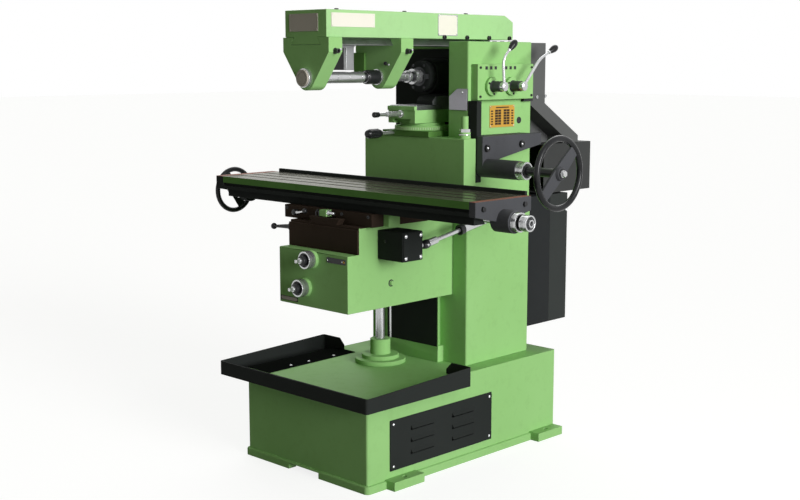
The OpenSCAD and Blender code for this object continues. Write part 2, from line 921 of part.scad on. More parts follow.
module motor_cover() color(grey) difference() {
    y0 = guard_y0 + guard_d;
    box([guard_x0, y0, cover_low], [guard_x1, cover_y1, cover_top]);
    box([guard_x0 + guard_t, y0 - overrun, cover_low + guard_t],
        [guard_x1 - guard_t, cover_y1 - guard_t, cover_top - guard_t]);
}

module motor() color(deep_green) difference() {
    union() {
        rod_y(0, motor_y0, motor_y0 + motor_len, motor_z, motor_d / 2);
        box([-motor_foot_half, motor_y0 + shaft_engage, cover_low + guard_t],
            [motor_foot_half, motor_y0 + motor_len - shaft_engage, motor_z - motor_d / 4]);
    }
    rod_y(0, motor_y0 - overrun, motor_y0 + shaft_engage, motor_z, motor_shaft_r + run_gap);
}

// The belt outline round both pulleys: two circles joined by their outer tangents
module belt_outline(grow) {
    ra = spindle_pulley_d / 2 - groove_d + grow;
    rb = motor_pulley_d / 2 - groove_d + grow;
    tilt = asin((ra - rb) / (axis_z - motor_z));
    side = [cos(tilt), -sin(tilt)];
    translate([0, axis_z]) circle(ra);
    translate([0, motor_z]) circle(rb);
    polygon([[ra * side.x, axis_z + ra * side.y], [rb * side.x, motor_z + rb * side.y],
        [-rb * side.x, motor_z + rb * side.y], [-ra * side.x, axis_z + ra * side.y]]);
}

function groove_y_at(i) = pulley_y + pulley_w * (i + 0.5) / groove_count;

module drive_belts() color(dark) for (i = [0:groove_count - 1])
    translate([0, groove_y_at(i) + belt_w / 2, 0]) rotate([90, 0, 0])
        linear_extrude(belt_w) difference() {
        belt_outline(belt_seat + belt_t);
        belt_outline(belt_seat);
    }

module grooved_pulley(z, r, bore) difference() {
    rod_y(0, pulley_y, pulley_y + pulley_w, z, r);
    for (i = [0:groove_count - 1]) difference() {
        rod_y(0, groove_y_at(i) - groove_w / 2, groove_y_at(i) + groove_w / 2, z, r + overrun);
        rod_y(0, pulley_y, pulley_y + pulley_w, z, r - groove_d);
    }
    rod_y(0, pulley_y - overrun, pulley_y + pulley_w + overrun, z, bore);
}

module switch_cabinet() color(grey) {
    difference() {
        box([cabinet_x0, column_back, cabinet_z0], [guard_x1, cabinet_y1, cabinet_z1]);
        box([cabinet_x0 + guard_t, column_back + guard_t, cabinet_z0 + guard_t],
            [guard_x1 - guard_t, cabinet_y1 + overrun, cabinet_z1 - guard_t]);
    }
    box([-relay_size.x / 2, column_back + guard_t, (cabinet_z0 + cabinet_z1 - relay_size.z) / 2],
        [relay_size.x / 2, column_back + guard_t + relay_size.y,
            (cabinet_z0 + cabinet_z1 + relay_size.z) / 2]);
}

// The rear half of the cabinet is a door hinged on its left edge
module cabinet_door() color(grey) {
    y0 = cabinet_y1 + door_gap;
    difference() {
        box([cabinet_x0, y0, cabinet_z0], [guard_x1, door_y1, cabinet_z1]);
        box([cabinet_x0 + guard_t, y0 - overrun, cabinet_z0 + guard_t],
            [guard_x1 - guard_t, door_y1 - guard_t, cabinet_z1 - guard_t]);
    }
}

module spindle_bearings() color(silver) {
    y0 = head_y - nose_out + nose_ring_gap;
    difference() {
        rod_y(0, y0, y0 + bearing_front_len, axis_z, bearing_front_r - run_gap);
        rod_y(0, y0 - overrun, y0 + bearing_front_len + overrun, axis_z, spindle_r + run_gap);
    }
    difference() {
        rod_y(0, column_back - bearing_rear_len, column_back, axis_z, bearing_rear_r - run_gap);
        rod_y(0, column_back - bearing_rear_len - overrun, column_back + overrun, axis_z,
            spindle_r + run_gap);
    }
}

module feed_output_box() color(deep_green) {
    x = column_w / 2;
    y0 = feed_rear_y + yoke_r + seat_gap;
    box([x, y0 + stub_r, feed_rear_z - output_h / 2],
        [x + output_w, y0 + output_d, feed_rear_z + output_h / 2]);
    rod_y(feed_x, y0, y0 + stub_r, feed_rear_z, stub_r + yoke_gap / 2);
}

module rear_bed() color(green) difference() {
    union() {
        box([bed_x0, column_y - bed_out, ledge_z], [bed_x1, column_y, bed_z1]);
        box([bed_x0, column_y - bed_out, ledge_z], [housing_x, head_y - front_plate_t, bed_z1]);
        rod_z(bed_x1 - post_inset, column_y - bed_out / 2, bed_z1 - post_r, bed_z1 + post_h, post_r);
        rod_z(bed_x1 - post_inset, column_y - bed_out / 2, bed_z1 - post_r, bed_z1 + post_nut_h,
            post_nut_r);
    }
    box([bed_slot_x0, rear_axis_y - bed_slot_half, rear_axis_z - bed_slot_half],
        [bed_slot_x1, rear_axis_y + bed_slot_half, bed_z1 + overrun]);
    rod_x(bed_slot_x1 - overrun, housing_x + overrun, rear_axis_y, rear_axis_z, rear_screw_r + run_gap);
    box([bed_x0 + bed_wall, column_y - bed_out + bed_wall, ledge_z - overrun],
        [bed_x1 - bed_wall, column_y - bed_wall / 2, rear_axis_z]);
}

function side_outline() = [[column_y, bracket_top_z], [column_y, bracket_top_z - bracket_band],
    [rear_axis_y - side_boss_r, rear_axis_z], [rear_axis_y + side_boss_r, rear_axis_z],
    [rear_axis_y + 2 * side_boss_r, bracket_top_z - bracket_band],
        [bracket_y1, bracket_top_z - bracket_band / 2],
    [bracket_y1, bracket_top_z]];

module side_bracket() color(grey) difference() {
    union() {
        prism_x(bracket_x0, bracket_x1, side_outline());
        rod_x(bracket_x0, bracket_x1 + side_boss_len, rear_axis_y, rear_axis_z, side_boss_r);
        box([column_w / 2, side_foot_y0, bracket_top_z - bracket_band / 2],
            [bracket_x0 + overrun, bracket_y1 - bracket_band / 2, bracket_top_z]);
    }
    rod_x(bracket_x0 - overrun, bracket_x1 + side_boss_len + overrun, rear_axis_y, rear_axis_z,
        rear_screw_r + run_gap);
}

module overarm() color(green) difference() {
    union() {
        prism_x(-arm_w / 2, arm_w / 2, [[arm_front, arm_z0], [arm_front, arm_z1],
            [arm_back - arm_chamfer, arm_z1],
            [arm_back, arm_z1 - arm_chamfer / 2], [arm_back, arm_z0]]);
        translate([0, dove_back, arm_z0]) rotate([90, 0, 0]) linear_extrude(dove_back - arm_front)
            mirror([0, 1]) polygon(dovetail(arm_dove_top, arm_dove_low, arm_dove_h));
    }
    box([-arm_w / 2 + arm_wall, arm_front + arm_wall, arm_z0 + arm_wall],
        [arm_w / 2 - arm_wall, arm_back - arm_chamfer - arm_wall, arm_z1 - arm_wall]);
}

// An arbor support: shoulders round the overarm's dovetail, a taper that runs
// straight into a round nose, and the nose carries the arbor
module arbor_support(y0) {
    y1 = y0 + support_t;
    top = arm_z0 - slide_gap;
    shoulder_z = top - shoulder_h;
    rise = shoulder_z - axis_z;
    touch = atan2(rise, support_half) - acos(nose_clamp_r / norm([support_half, rise]));
    touch_x = nose_clamp_r * cos(touch);
    touch_z = axis_z + nose_clamp_r * sin(touch);
    difference() {
        union() {
            prism_y(y0, y1, [[-support_half, top], [-support_half, shoulder_z], [-touch_x, touch_z],
                [touch_x, touch_z], [support_half, shoulder_z], [support_half, top]]);
            rod_y(0, y0, y1, axis_z, nose_clamp_r);
            rod_x(support_half, support_half + clamp_bolt_len, (y0 + y1) / 2, top - shoulder_h / 2,
                clamp_bolt_r);
        }
        translate([0, y1 + overrun, top]) rotate([90, 0, 0]) linear_extrude(support_t + 2 * overrun)
            mirror([0, 1]) polygon(dovetail(arm_dove_top + slide_gap, arm_dove_low + slide_gap,
                arm_dove_h));
        rod_y(0, y0 - overrun, y1 + overrun, axis_z, arbor_r + run_gap);
    }
}

module support_front() color(green) arbor_support(arm_front);

module support_rear() color(green) arbor_support(support_rear_y);

module rear_bush() color(dark) difference() {
    rod_y(0, support_rear_y - rear_bush_len, support_rear_y, axis_z, rear_bush_r);
    rod_y(0, support_rear_y - rear_bush_len - overrun, support_rear_y + overrun, axis_z,
        arbor_r + run_gap);
}

// Spindle: nose ring in front of the housing, shaft through both bearings, tail for the pulley
spindle_nose_y = head_y - nose_out - nose_ring_len;

module spindle() color(silver) difference() {
    union() {
        rod_y(0, spindle_nose_y, head_y - nose_out - pass_gap, axis_z, nose_ring_r);
        rod_y(0, spindle_nose_y, column_back + spindle_tail, axis_z, spindle_r);
    }
    rod_y(0, spindle_nose_y - overrun, column_back + spindle_tail + overrun, axis_z, arbor_r);
}

module arbor() color(silver) {
    rod_y(0, arm_front - arbor_tail, column_back, axis_z, arbor_r);
    collar_end = spindle_nose_y;
    for (i = [0:collar_count - 1]) {
        y1 = collar_end - i * collar_len;
        rod_y(0, y1 - collar_len, y1, axis_z, collar_r - (i % 2) * collar_step);
    }
}

module spindle_pulley() color(grey) grooved_pulley(axis_z, spindle_pulley_d / 2, spindle_r);

module motor_pulley() color(grey) {
    grooved_pulley(motor_z, motor_pulley_d / 2, motor_shaft_r / 2);
    rod_y(0, pulley_y + pulley_w / 2, motor_y0 + shaft_engage - pass_gap, motor_z, motor_shaft_r);
}

// Knee: stepped box round the column's dovetail, with a dovetail rail on top for the saddle
module knee_body() {
    half = knee_w / 2;
    box([-half, knee_front, knee_z0], [half, knee_rear, knee_z1]);
    box([-half, step_y, knee_z0], [half, knee_rear, knee_z2]);
    translate([0, rail_y1, knee_z2]) rotate([90, 0, 0]) linear_extrude(rail_y1 - rail_y0)
        polygon(dovetail(rail_half_low, rail_half_top, rail_h));
    rod_y(cross_x, knee_front - crank_boss_len, knee_front, cross_z, crank_boss_r);
    rod_y(vertical_x, knee_front - crank_boss_len, knee_front, vertical_z, crank_boss_r);
    rod_z(lift_x, lift_y, knee_z0 - sleeve_len, knee_z0, sleeve_r);
    box([-half - clamp_lug_w, clamp_lug_y, clamp_z - clamp_pivot_r],
        [-half, clamp_lug_y + clamp_lug_len, clamp_z + clamp_pivot_r]);
}

module knee() color(green) difference() {
    knee_body();
    half = knee_w / 2;
    inner = half - knee_wall;
    cavity_y1 = groove_y - 2 * knee_wall;
    cavity_top = knee_z2 - knee_wall;
    box([-inner, knee_front + knee_wall, knee_z0 + knee_wall],
        [inner, cavity_y1, knee_z1 - knee_wall / 8]);
    box([-inner, step_y + knee_wall, knee_z0 + knee_wall], [inner, cavity_y1, cavity_top]);
    translate([0, column_y, knee_z0 - sleeve_len]) linear_extrude(knee_z2 - knee_z0 + 2 * sleeve_len)
        mirror([0, 1, 0]) polygon(groove(way_half - way_taper, way_half, way_out, slide_gap));
    box([-nut_slot_half, nut_slot_y0, cavity_top - overrun],
        [nut_slot_half, nut_slot_y1, knee_z2 + rail_h + overrun]);
    front_y = knee_front - crank_boss_len - overrun;
    rod_y(cross_x, front_y, knee_front + knee_wall + overrun, cross_z, crank_r + run_gap);
    rod_y(cross_x, cavity_y1 - overrun, cavity_y1 + cross_rear_len, cross_z, cross_rear_r + run_gap);
    rod_y(vertical_x, front_y, knee_front + knee_wall + overrun, vertical_z, crank_r + run_gap);
    rod_z(lift_x, lift_y, knee_z0 - sleeve_len - overrun, knee_z0 + knee_wall + overrun,
        lift_r + run_gap);
}

module knee_apron() color(dark)
    box([-knee_w / 2, step_y - apron_t, knee_z1], [knee_w / 2, step_y, knee_z1 + apron_h]);

module feed_gearbox() color(dark) {
    x = knee_w / 2;
    y1 = gearbox_y0 + gearbox_d;
    box([x, gearbox_y0, gearbox_z0], [x + gearbox_w, y1, gearbox_z0 + gearbox_h]);
    rod_y(feed_x, y1, feed_front_y - yoke_r - seat_gap, feed_front_z, stub_r);
}

// Gearbox screws, oil plug and sight plate on the knee
module knee_trim() color(silver) {
    x = knee_w / 2;
    gx = x + gearbox_w;
    for (y = [gearbox_y0 + gearbox_screw_inset, gearbox_y0 + gearbox_d - gearbox_screw_inset],
         z = [gearbox_z0 + gearbox_screw_inset, gearbox_z0 + gearbox_h - gearbox_screw_inset])
        rod_x(gx, gx + screw_head_h, y, z, screw_head_r);
    rod_x(x, x + plug_h, plug_y, plug_z, plug_r);
    box([sight_x, knee_front - sight_t, sight_z], [sight_x + sight_w, knee_front, sight_z + sight_h]);
}

// A front crank end: dial drum, shaft and clutch tip
module crank_front(x, z) {
    y0 = knee_front - crank_boss_len - slide_gap;
    rod_y(x, y0 - dial_len, y0, z, dial_r);
    difference() {
        rod_y(x, knee_front - crank_out, y0 - dial_len, z, crank_tip_r);
        box([x - crank_tip_r - overrun, knee_front - crank_out - overrun, z - crank_tip_r / 4],
            [x + crank_tip_r + overrun, knee_front - crank_out + crank_tip_len / 3, z + crank_tip_r / 4]);
    }
}

// Vertical crank: its bevel pinion drives the elevating screw's gear
module vertical_crank() color(silver) {
    crank_front(vertical_x, vertical_z);
    face_y = lift_y - gear_r;
    rod_y(vertical_x, knee_front - crank_boss_len - slide_gap - overrun, face_y - gear_face_len,
        vertical_z, crank_r);
    small = pinion_r * (gear_r - gear_face_len) / gear_r;
    translate([vertical_x, face_y - gear_face_len, vertical_z]) rotate([-90, 0, 0])
        cylinder(h = gear_face_len, r = pinion_r - mesh_gap);
    translate([vertical_x, face_y, vertical_z]) rotate([-90, 0, 0])
        cylinder(h = gear_face_len, r1 = pinion_r - mesh_gap, r2 = small - mesh_gap);
}

module cross_crank() color(silver) {
    crank_front(cross_x, cross_z);
    cavity_y1 = groove_y - 2 * knee_wall;
    rod_y(cross_x, knee_front - crank_boss_len - slide_gap - overrun, cavity_y1, cross_z, crank_r);
    rod_y(cross_x, cavity_y1, cavity_y1 + cross_rear_len - pass_gap, cross_z, cross_rear_r);
}

// Elevating screw: turns in the knee, climbs through the fixed nut; its bevel gear lies under the pinion
module elevating_screw() color(silver) {
    gear_z = vertical_z - pinion_r;
    small = gear_r * (pinion_r - gear_face_len) / pinion_r;
    rod_z(lift_x, lift_y, lift_low, gear_z + gear_face_len, lift_r);
    translate([lift_x, lift_y, gear_z]) cylinder(h = gear_face_len, r1 = gear_r - mesh_gap,
        r2 = small - mesh_gap);
    rod_z(lift_x, lift_y, knee_z0 + knee_wall + slide_gap, gear_z, lift_head_r);
}

// Clamp lever in front of the knee's left lug, turning about Y
module knee_clamp_lever() color(dark) {
    x = -knee_w / 2 - clamp_lug_w / 2;
    y1 = clamp_lug_y - slide_gap;
    rod_y(x, y1 - clamp_pivot_len, y1, clamp_z, clamp_pivot_r);
    from = [x, y1 - clamp_pivot_len / 2, clamp_z];
    to = from + [-clamp_arm_len, 0, -clamp_pivot_r / 2];
    bar(from, to, clamp_arm_r);
    translate(to) rotate([0, 0, 180]) sphere(clamp_ball_r);
}

module saddle() color(deep_green) difference() {
    y0 = table_y - saddle_d / 2;
    y1 = table_y + saddle_d / 2;
    union() {
        box([saddle_x0, y0, saddle_z0], [saddle_x1, y1, saddle_z1]);
        translate([saddle_x0, table_y, saddle_z1]) rotate([90, 0, 90])
            linear_extrude(saddle_x1 - saddle_x0)
            polygon(dovetail(saddle_rail_low, saddle_rail_top, saddle_rail_h));
        box([saddle_x1, y0 + lug_len, saddle_z0], [saddle_x1 + lug_t, y0 + 2 * lug_len, saddle_z1]);
        box([stop_x, y0 - stop_d, knee_z2 + rail_h + pass_gap], [stop_x + stop_w, y0, saddle_z1]);
    }
    translate([0, y1 + overrun, saddle_z0 - slide_gap]) rotate([90, 0, 0])
        linear_extrude(saddle_d + 2 * overrun)
        polygon(groove(rail_half_low, rail_half_top, rail_h, slide_gap));
    box([saddle_x0 - overrun, table_y - channel_half, channel_low],
        [saddle_x1 + lug_t, table_y + channel_half, channel_top + saddle_rail_h]);
}

// The cross nut hangs into the knee; the table nut stands in the saddle's channel
module saddle_nuts() color(bronze) {
    difference() {
        box([-cross_nut_half, table_y - cross_nut_len / 2, cross_z - cross_nut_half],
            [cross_nut_half, table_y + cross_nut_len / 2, knee_z2 + rail_h + slide_gap]);
        rod_y(cross_x, table_y - cross_nut_len, table_y + cross_nut_len, cross_z, crank_r + run_gap);
    }
    difference() {
        box([-lead_nut_len / 2, table_y - channel_half, channel_low],
            [lead_nut_len / 2, table_y + channel_half, saddle_z1 + saddle_rail_h]);
        rod_x(-lead_nut_len, lead_nut_len, table_y, lead_z, lead_r + run_gap);
    }
}

module saddle_lever() color(silver) {
    y0 = table_y - saddle_d / 2 - slide_gap;
    z = (saddle_z0 + saddle_z1) / 2;
    rod_y(lock_x, y0 - lock_len, y0, z, lock_r);
    from = [lock_x, y0 - lock_len / 2, z];
    to = from + [lock_arm_len, -lock_len / 2, lock_r];
    bar(from, to, lock_arm_r);
    translate(to) sphere(lock_ball_r);
}

module t_slot(y) {
    x0 = table_x0 - overrun;
    x1 = table_x1 + overrun;
    box([x0, y - slot_w / 2, table_top - slot_depth], [x1, y + slot_w / 2, table_top + overrun]);
    box([x0, y - slot_foot_w / 2, table_top - slot_depth],
        [x1, y + slot_foot_w / 2, table_top - slot_depth + slot_foot_h]);
}

module table() color(green) difference() {
    union() {
        box([table_x0, table_front, slab_z0], [table_x1, table_back, table_top]);
        box([table_x0, table_front + low_margin, table_z0], [table_x1, table_back - low_margin, slab_z0]);
    }
    translate([table_x0 - overrun, table_y, table_z0 - slide_gap]) rotate([90, 0, 90])
        linear_extrude(table_len + 2 * overrun)
        polygon(groove(saddle_rail_low, saddle_rail_top, saddle_rail_h, 2 * slide_gap));
    box([table_x0 - overrun, table_y - channel_half, table_z0 - overrun],
        [table_x1 + overrun, table_y + channel_half, channel_top]);
    box([table_x0 - overrun, table_front - overrun, slab_z0 + dog_rise],
        [table_x1 + overrun, table_front + dog_d, slab_z0 + dog_rise + dog_h]);
    for (i = [0:slot_count - 1]) t_slot(table_y + (i - (slot_count - 1) / 2) * slot_pitch);
}

module table_strip() color(dark)
    box([table_x0, table_back, table_top + strip_rise - strip_h],
        [table_x1, table_back + strip_t, table_top + strip_rise]);

function end_outline() = [[table_front, table_top], [table_front, slab_z0],
    [table_y - bracket_boss_r, lead_z],
    [table_y + bracket_boss_r, lead_z], [table_back, slab_z0], [table_back, table_top]];

module left_bracket() color(deep_green) difference() {
    union() {
        prism_x(table_x0 - left_bracket_t, table_x0, end_outline());
        rod_x(table_x0 - left_bracket_t, table_x0, table_y, lead_z, bracket_boss_r);
    }
    rod_x(table_x0 - left_bracket_t - overrun, table_x0 + overrun, table_y, lead_z, lead_r + run_gap);
}

module right_bracket() color(grey) difference() {
    union() {
        prism_x(table_x1, table_x1 + bracket_t, end_outline());
        rod_x(table_x1, table_x1 + bracket_t + bracket_boss_len, table_y, lead_z, bracket_boss_r);
        for (y = [table_front + bracket_bolt_inset, table_back - bracket_bolt_inset])
            rod_x(table_x1 + bracket_t, table_x1 + bracket_t + bracket_bolt_h, y, slab_z0 + slab_h / 2,
                bracket_bolt_r);
    }
    rod_x(table_x1 - overrun, table_x1 + bracket_t + bracket_boss_len + overrun, table_y, lead_z,
        lead_r + run_gap);
}

wheel_x = table_x0 - left_bracket_t - wheel_gap;
dial_x = table_x1 + bracket_t + bracket_boss_len + slide_gap;

module lead_screw() color(silver) {
    rod_x(wheel_x - hub_len / 2 - screw_out, dial_x + right_dial_len, table_y, lead_z, lead_r);
    x1 = table_x0 - left_bracket_t - slide_gap;
    difference() {
        rod_x(x1 - left_dial_len, x1, table_y, lead_z, left_dial_r);
        rod_x(x1 - left_dial_len - overrun, x1 + overrun, table_y, lead_z, lead_r);
    }
}

// A handwheel about X: round rim, hub and one broad flat spoke across it
module handwheel(x, y, z, d, rim_r, hub_r, hub_l, bore, lean) {
    ring_r = d / 2 - rim_r;
    translate([x, y, z]) rotate([0, 90, 0]) rotate_extrude() translate([ring_r, 0]) circle(rim_r);
    difference() {
        union() {
            rod_x(x - hub_l / 2, x + hub_l / 2, y, z, hub_r);
            translate([x, y, z]) rotate([lean, 0, 0]) cube([spoke_t, spoke_w, 2 * ring_r], center = true);
        }
        rod_x(x - hub_l, x + hub_l, y, z, bore);
    }
}

module left_handwheel() color(dark)
    handwheel(wheel_x, table_y, lead_z, left_wheel_d, wheel_rim_r, wheel_hub_r, hub_len, lead_r,
        left_lean);

module right_dial() color(silver) difference() {
    union() {
        rod_x(dial_x, dial_x + right_dial_len, table_y, lead_z, right_dial_r);
        rod_x(dial_x + right_dial_len, dial_x + right_dial_len + clutch_len, table_y, lead_z, clutch_r);
    }
    rod_x(dial_x - overrun, dial_x + right_dial_len, table_y, lead_z, lead_r);
    box([dial_x + right_dial_len + clutch_len - clutch_slot, table_y - clutch_r - overrun,
        lead_z - clutch_slot / 2],
        [dial_x + right_dial_len + clutch_len + overrun, table_y + clutch_r + overrun,
            lead_z + clutch_slot / 2]);
}

// Rear carriage: slides along the bed, its nut hangs into the bed's slot
carriage_z0 = bed_z1 + slide_gap;
carriage_z1 = bed_z1 + carriage_h;
swivel_z1 = carriage_z1 + swivel_h;
slide_z0 = swivel_z1 + slide_gap;
slide_z1 = swivel_z1 + slide_h;
slide_screw_z = slide_z0 + slide_h * slide_screw_share;
slide_y1 = slide_y0 + slide_len;

module rear_carriage() color(deep_green) difference() {
    union() {
        box([swivel_x - carriage_w / 2, swivel_y - carriage_d / 2, carriage_z0],
            [swivel_x + carriage_w / 2, swivel_y + carriage_d / 2, carriage_z1]);
        box([swivel_x - carriage_nut_len / 2, rear_axis_y - carriage_nut_half,
            rear_axis_z - carriage_nut_half],
            [swivel_x + carriage_nut_len / 2, rear_axis_y + carriage_nut_half, carriage_z1]);
    }
    rod_x(swivel_x - carriage_nut_len, swivel_x + carriage_nut_len, rear_axis_y, rear_axis_z,
        rear_screw_r + run_gap);
    rod_z(swivel_x, swivel_y, carriage_z1 - swivel_pin_h - pass_gap, carriage_z1 + overrun,
        swivel_pin_r + run_gap);
}

rear_dial_x = bracket_x1 + side_boss_len + slide_gap;

module rear_screw() color(silver) {
    rod_x(bed_slot_x0 + pass_gap, rear_wheel_x + rear_hub_len / 2, rear_axis_y, rear_axis_z,
        rear_screw_r);
    difference() {
        rod_x(rear_dial_x, rear_dial_x + rear_dial_len, rear_axis_y, rear_axis_z, rear_dial_r);
        rod_x(rear_dial_x - overrun, rear_dial_x + rear_dial_len + overrun, rear_axis_y, rear_axis_z,
            rear_screw_r);
    }
    rod_x(rear_wheel_x + rear_hub_len / 2, rear_wheel_x + rear_hub_len / 2 + rear_nut_len, rear_axis_y,
        rear_axis_z,
        rear_nut_r);
}

module rear_handwheel() color(dark)
    handwheel(rear_wheel_x, rear_axis_y, rear_axis_z, rear_wheel_d, rear_rim_r, rear_hub_r, rear_hub_len,
        rear_screw_r, rear_lean);

// Swivel base: stepped disc on a pin, with the top slide's dovetail rail along its diameter
module swivel_base() color(green) {
    z0 = carriage_z1 + slide_gap;
    rod_z(swivel_x, swivel_y, carriage_z1 - swivel_pin_h, z0 + overrun, swivel_pin_r);
    rod_z(swivel_x, swivel_y, z0, swivel_z1 - swivel_step_h, swivel_d / 2);
    rod_z(swivel_x, swivel_y, z0, swivel_z1, swivel_step_r);
    translate([swivel_x, swivel_y + swivel_step_r, swivel_z1]) rotate([90, 0, 0])
        linear_extrude(2 * swivel_step_r)
        polygon(dovetail(slide_rail_low, slide_rail_top, slide_rail_h));
}

module top_slide() color(silver) difference() {
    box([swivel_x - slide_w / 2, slide_y0, slide_z0], [swivel_x + slide_w / 2, slide_y1, slide_z1]);
    translate([swivel_x, slide_y1 + overrun, slide_z0 - slide_gap]) rotate([90, 0, 0])
        linear_extrude(slide_len + 2 * overrun)
        polygon(groove(slide_rail_low, slide_rail_top, slide_rail_h, 2 * slide_gap));
    rod_y(swivel_x, slide_y0 - overrun, slide_y0 + slide_len / 2, slide_screw_z + slide_screw_r,
        slide_screw_r + run_gap);
}

module slide_guard() color(dark) {
    y1 = slide_y1 - slide_screw_r;
    x1 = swivel_x + slide_w / 2;
    prism_x(x1 - guard_box_w, x1, [[y1 - guard_box_d, slide_z1], [y1 - guard_box_d,
        slide_z1 + guard_box_h - guard_box_chamfer], [y1 - guard_box_d + guard_box_chamfer,
            slide_z1 + guard_box_h],
        [y1, slide_z1 + guard_box_h], [y1, slide_z1]]);
}

module slide_crank() color(silver) {
    z = slide_screw_z + slide_screw_r;
    y0 = slide_y0 - slide_gap;
    rod_y(swivel_x, y0 - slide_crank_out, slide_y0 + slide_len / 2 - pass_gap, z, slide_screw_r);
    rod_y(swivel_x, y0 - slide_dial_len, y0, z, slide_dial_r);
    rod_y(swivel_x, y0 - slide_crank_out, y0 - slide_crank_out + slide_tip_len, z, slide_tip_r);
}

// Lock knob on the carriage's front, turning about Y
module lock_knob() color(dark) {
    y0 = swivel_y - carriage_d / 2 - slide_gap;
    z = (carriage_z0 + carriage_z1) / 2;
    rod_y(swivel_x + knob_pos_x, y0 - lock_stem_len, y0, z, lock_stem_r);
    rod_y(swivel_x + knob_pos_x, y0 - lock_stem_len - lock_knob_len, y0 - lock_stem_len, z, lock_knob_r);
}

// Telescopic feed shaft: the sleeve swings at the column, the rod at the knee gearbox
module feed_sleeve() color(silver)
    translate([feed_x, feed_rear_y, feed_rear_z]) rotate([feed_angle, 0, 0]) {
    sphere(yoke_r);
    difference() {
        rotate([90, 0, 0]) cylinder(h = feed_len * sleeve_share, r = sleeve_out_r);
        translate([0, -yoke_r - yoke_gap, 0]) rotate([90, 0, 0]) cylinder(h = feed_len,
            r = sleeve_bore_r);
    }
}

module feed_rod() color(silver)
    translate([feed_x, feed_front_y, feed_front_z]) rotate([feed_angle, 0, 0]) {
    sphere(yoke_r);
    rotate([-90, 0, 0]) cylinder(h = feed_len * rod_share, r = rod_r);
}

base_casting();
chip_tray();
vent_panel();
frame_screws();
nut_pedestal();
elevating_nut();
column();
way_cover();
spindle_cover();
gear_panel();
speed_plate();
lever_hubs();
belt_guard();
motor_cover();
motor();
drive_belts();
switch_cabinet();
spindle_bearings();
feed_output_box();
rear_bed();
side_bracket();
cabinet_door();
overarm();
support_front();
support_rear();
rear_bush();
spindle();
arbor();
spindle_pulley();
motor_pulley();
speed_lever_front();
speed_lever_rear();
knee();
knee_apron();
feed_gearbox();
knee_trim();
vertical_crank();
cross_crank();
elevating_screw();
knee_clamp_lever();
saddle();
saddle_nuts();
saddle_lever();
table();
table_strip();
left_bracket();
right_bracket();
lead_screw();
left_handwheel();
right_dial();
rear_carriage();
rear_screw();
rear_handwheel();
swivel_base();
top_slide();
slide_guard();
slide_crank();
lock_knob();
feed_sleeve();
feed_rod();
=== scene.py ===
# %% [markdown]
# # A horizontal milling machine, dressed in Blender
# The machine is a floor-standing knee mill: a green column on a base with a chip tray,
# an overarm with two arbor supports above, and a table on a saddle and a knee below.
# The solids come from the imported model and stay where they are. This lesson gives each
# of them rounded edges, a finish and the small parts a fitter would add.

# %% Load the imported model
import json
import math

import bmesh
import bpy
from mathutils import Matrix, Vector


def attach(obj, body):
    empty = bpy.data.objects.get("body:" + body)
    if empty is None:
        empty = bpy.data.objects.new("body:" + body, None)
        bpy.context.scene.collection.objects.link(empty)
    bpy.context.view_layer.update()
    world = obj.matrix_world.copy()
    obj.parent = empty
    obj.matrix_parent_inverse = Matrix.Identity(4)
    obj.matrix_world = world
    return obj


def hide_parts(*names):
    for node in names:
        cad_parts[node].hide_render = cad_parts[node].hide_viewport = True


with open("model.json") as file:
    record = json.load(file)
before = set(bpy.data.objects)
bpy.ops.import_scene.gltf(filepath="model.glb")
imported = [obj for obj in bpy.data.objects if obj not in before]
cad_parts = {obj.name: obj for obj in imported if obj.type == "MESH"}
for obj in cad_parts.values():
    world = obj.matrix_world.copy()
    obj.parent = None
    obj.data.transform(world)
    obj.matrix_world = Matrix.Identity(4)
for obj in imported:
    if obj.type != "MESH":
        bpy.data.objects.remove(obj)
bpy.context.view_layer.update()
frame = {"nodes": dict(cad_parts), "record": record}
scene = bpy.context.scene
nodes = frame["nodes"]
body_of = {}
for body_name, members in frame["record"]["behaviour"]["bodies"].items():
    for member in members:
        body_of[member] = body_name
MM = 0.001

# %% [markdown]
# ## Camera
# The photograph looks at the machine's right front corner from about head height. The
# place, turn and lens below come from fitting a camera to the photograph's straight
# edges, so the picture needs no shift.

# %% Camera
view = bpy.data.cameras.new("view")
view.lens = 56.17
view.sensor_width = 36.0
camera = bpy.data.objects.new("camera", view)
camera.location = (3.05175, -3.18077, 1.37508)
camera.rotation_euler = (math.radians(81.32), 0.0, math.radians(44.41))
scene.collection.objects.link(camera)
scene.camera = camera
scene.view_settings.view_transform = "Standard"
print("camera lens", view.lens)

# %% [markdown]
# ## Node helpers
# The world, the floor and every finish are node trees. These helpers add a node with its
# values, link sockets, and make the few small sums that all the trees need.


# %% Node helpers
def add(tree, kind, inputs=None, **values):
    """A node of this kind, with its input values and its properties set by name."""
    node = tree.nodes.new(kind)
    for name, value in values.items():
        setattr(node, name, value)
    for label, value in (inputs or {}).items():
        node.inputs[label].default_value = value
    return node


def wire(tree, *pairs):
    """Link each pair of an output and an input."""
    for source, target in pairs:
        tree.links.new(source, target)


def either(tree, first, second):
    """The larger of two ray flags, as one socket."""
    step = add(tree, "ShaderNodeMath", operation="MAXIMUM")
    wire(tree, (first, step.inputs[0]), (second, step.inputs[1]))
    return step.outputs[0]


def noise(tree, vector, scale, detail=3.0, rough=0.55):
    """A noise texture on the given coordinates."""
    node = add(tree, "ShaderNodeTexNoise", {"Scale": scale, "Detail": detail, "Roughness": rough})
    wire(tree, (vector, node.inputs["Vector"]))
    return node


def spread(tree, value, low, high, to_low=0.0, to_high=1.0):
    """A clamped change of range for a value socket."""
    limits = {"From Min": low, "From Max": high, "To Min": to_low, "To Max": to_high}
    node = add(tree, "ShaderNodeMapRange", limits, clamp=True)
    wire(tree, (value, node.inputs["Value"]))
    return node.outputs["Result"]


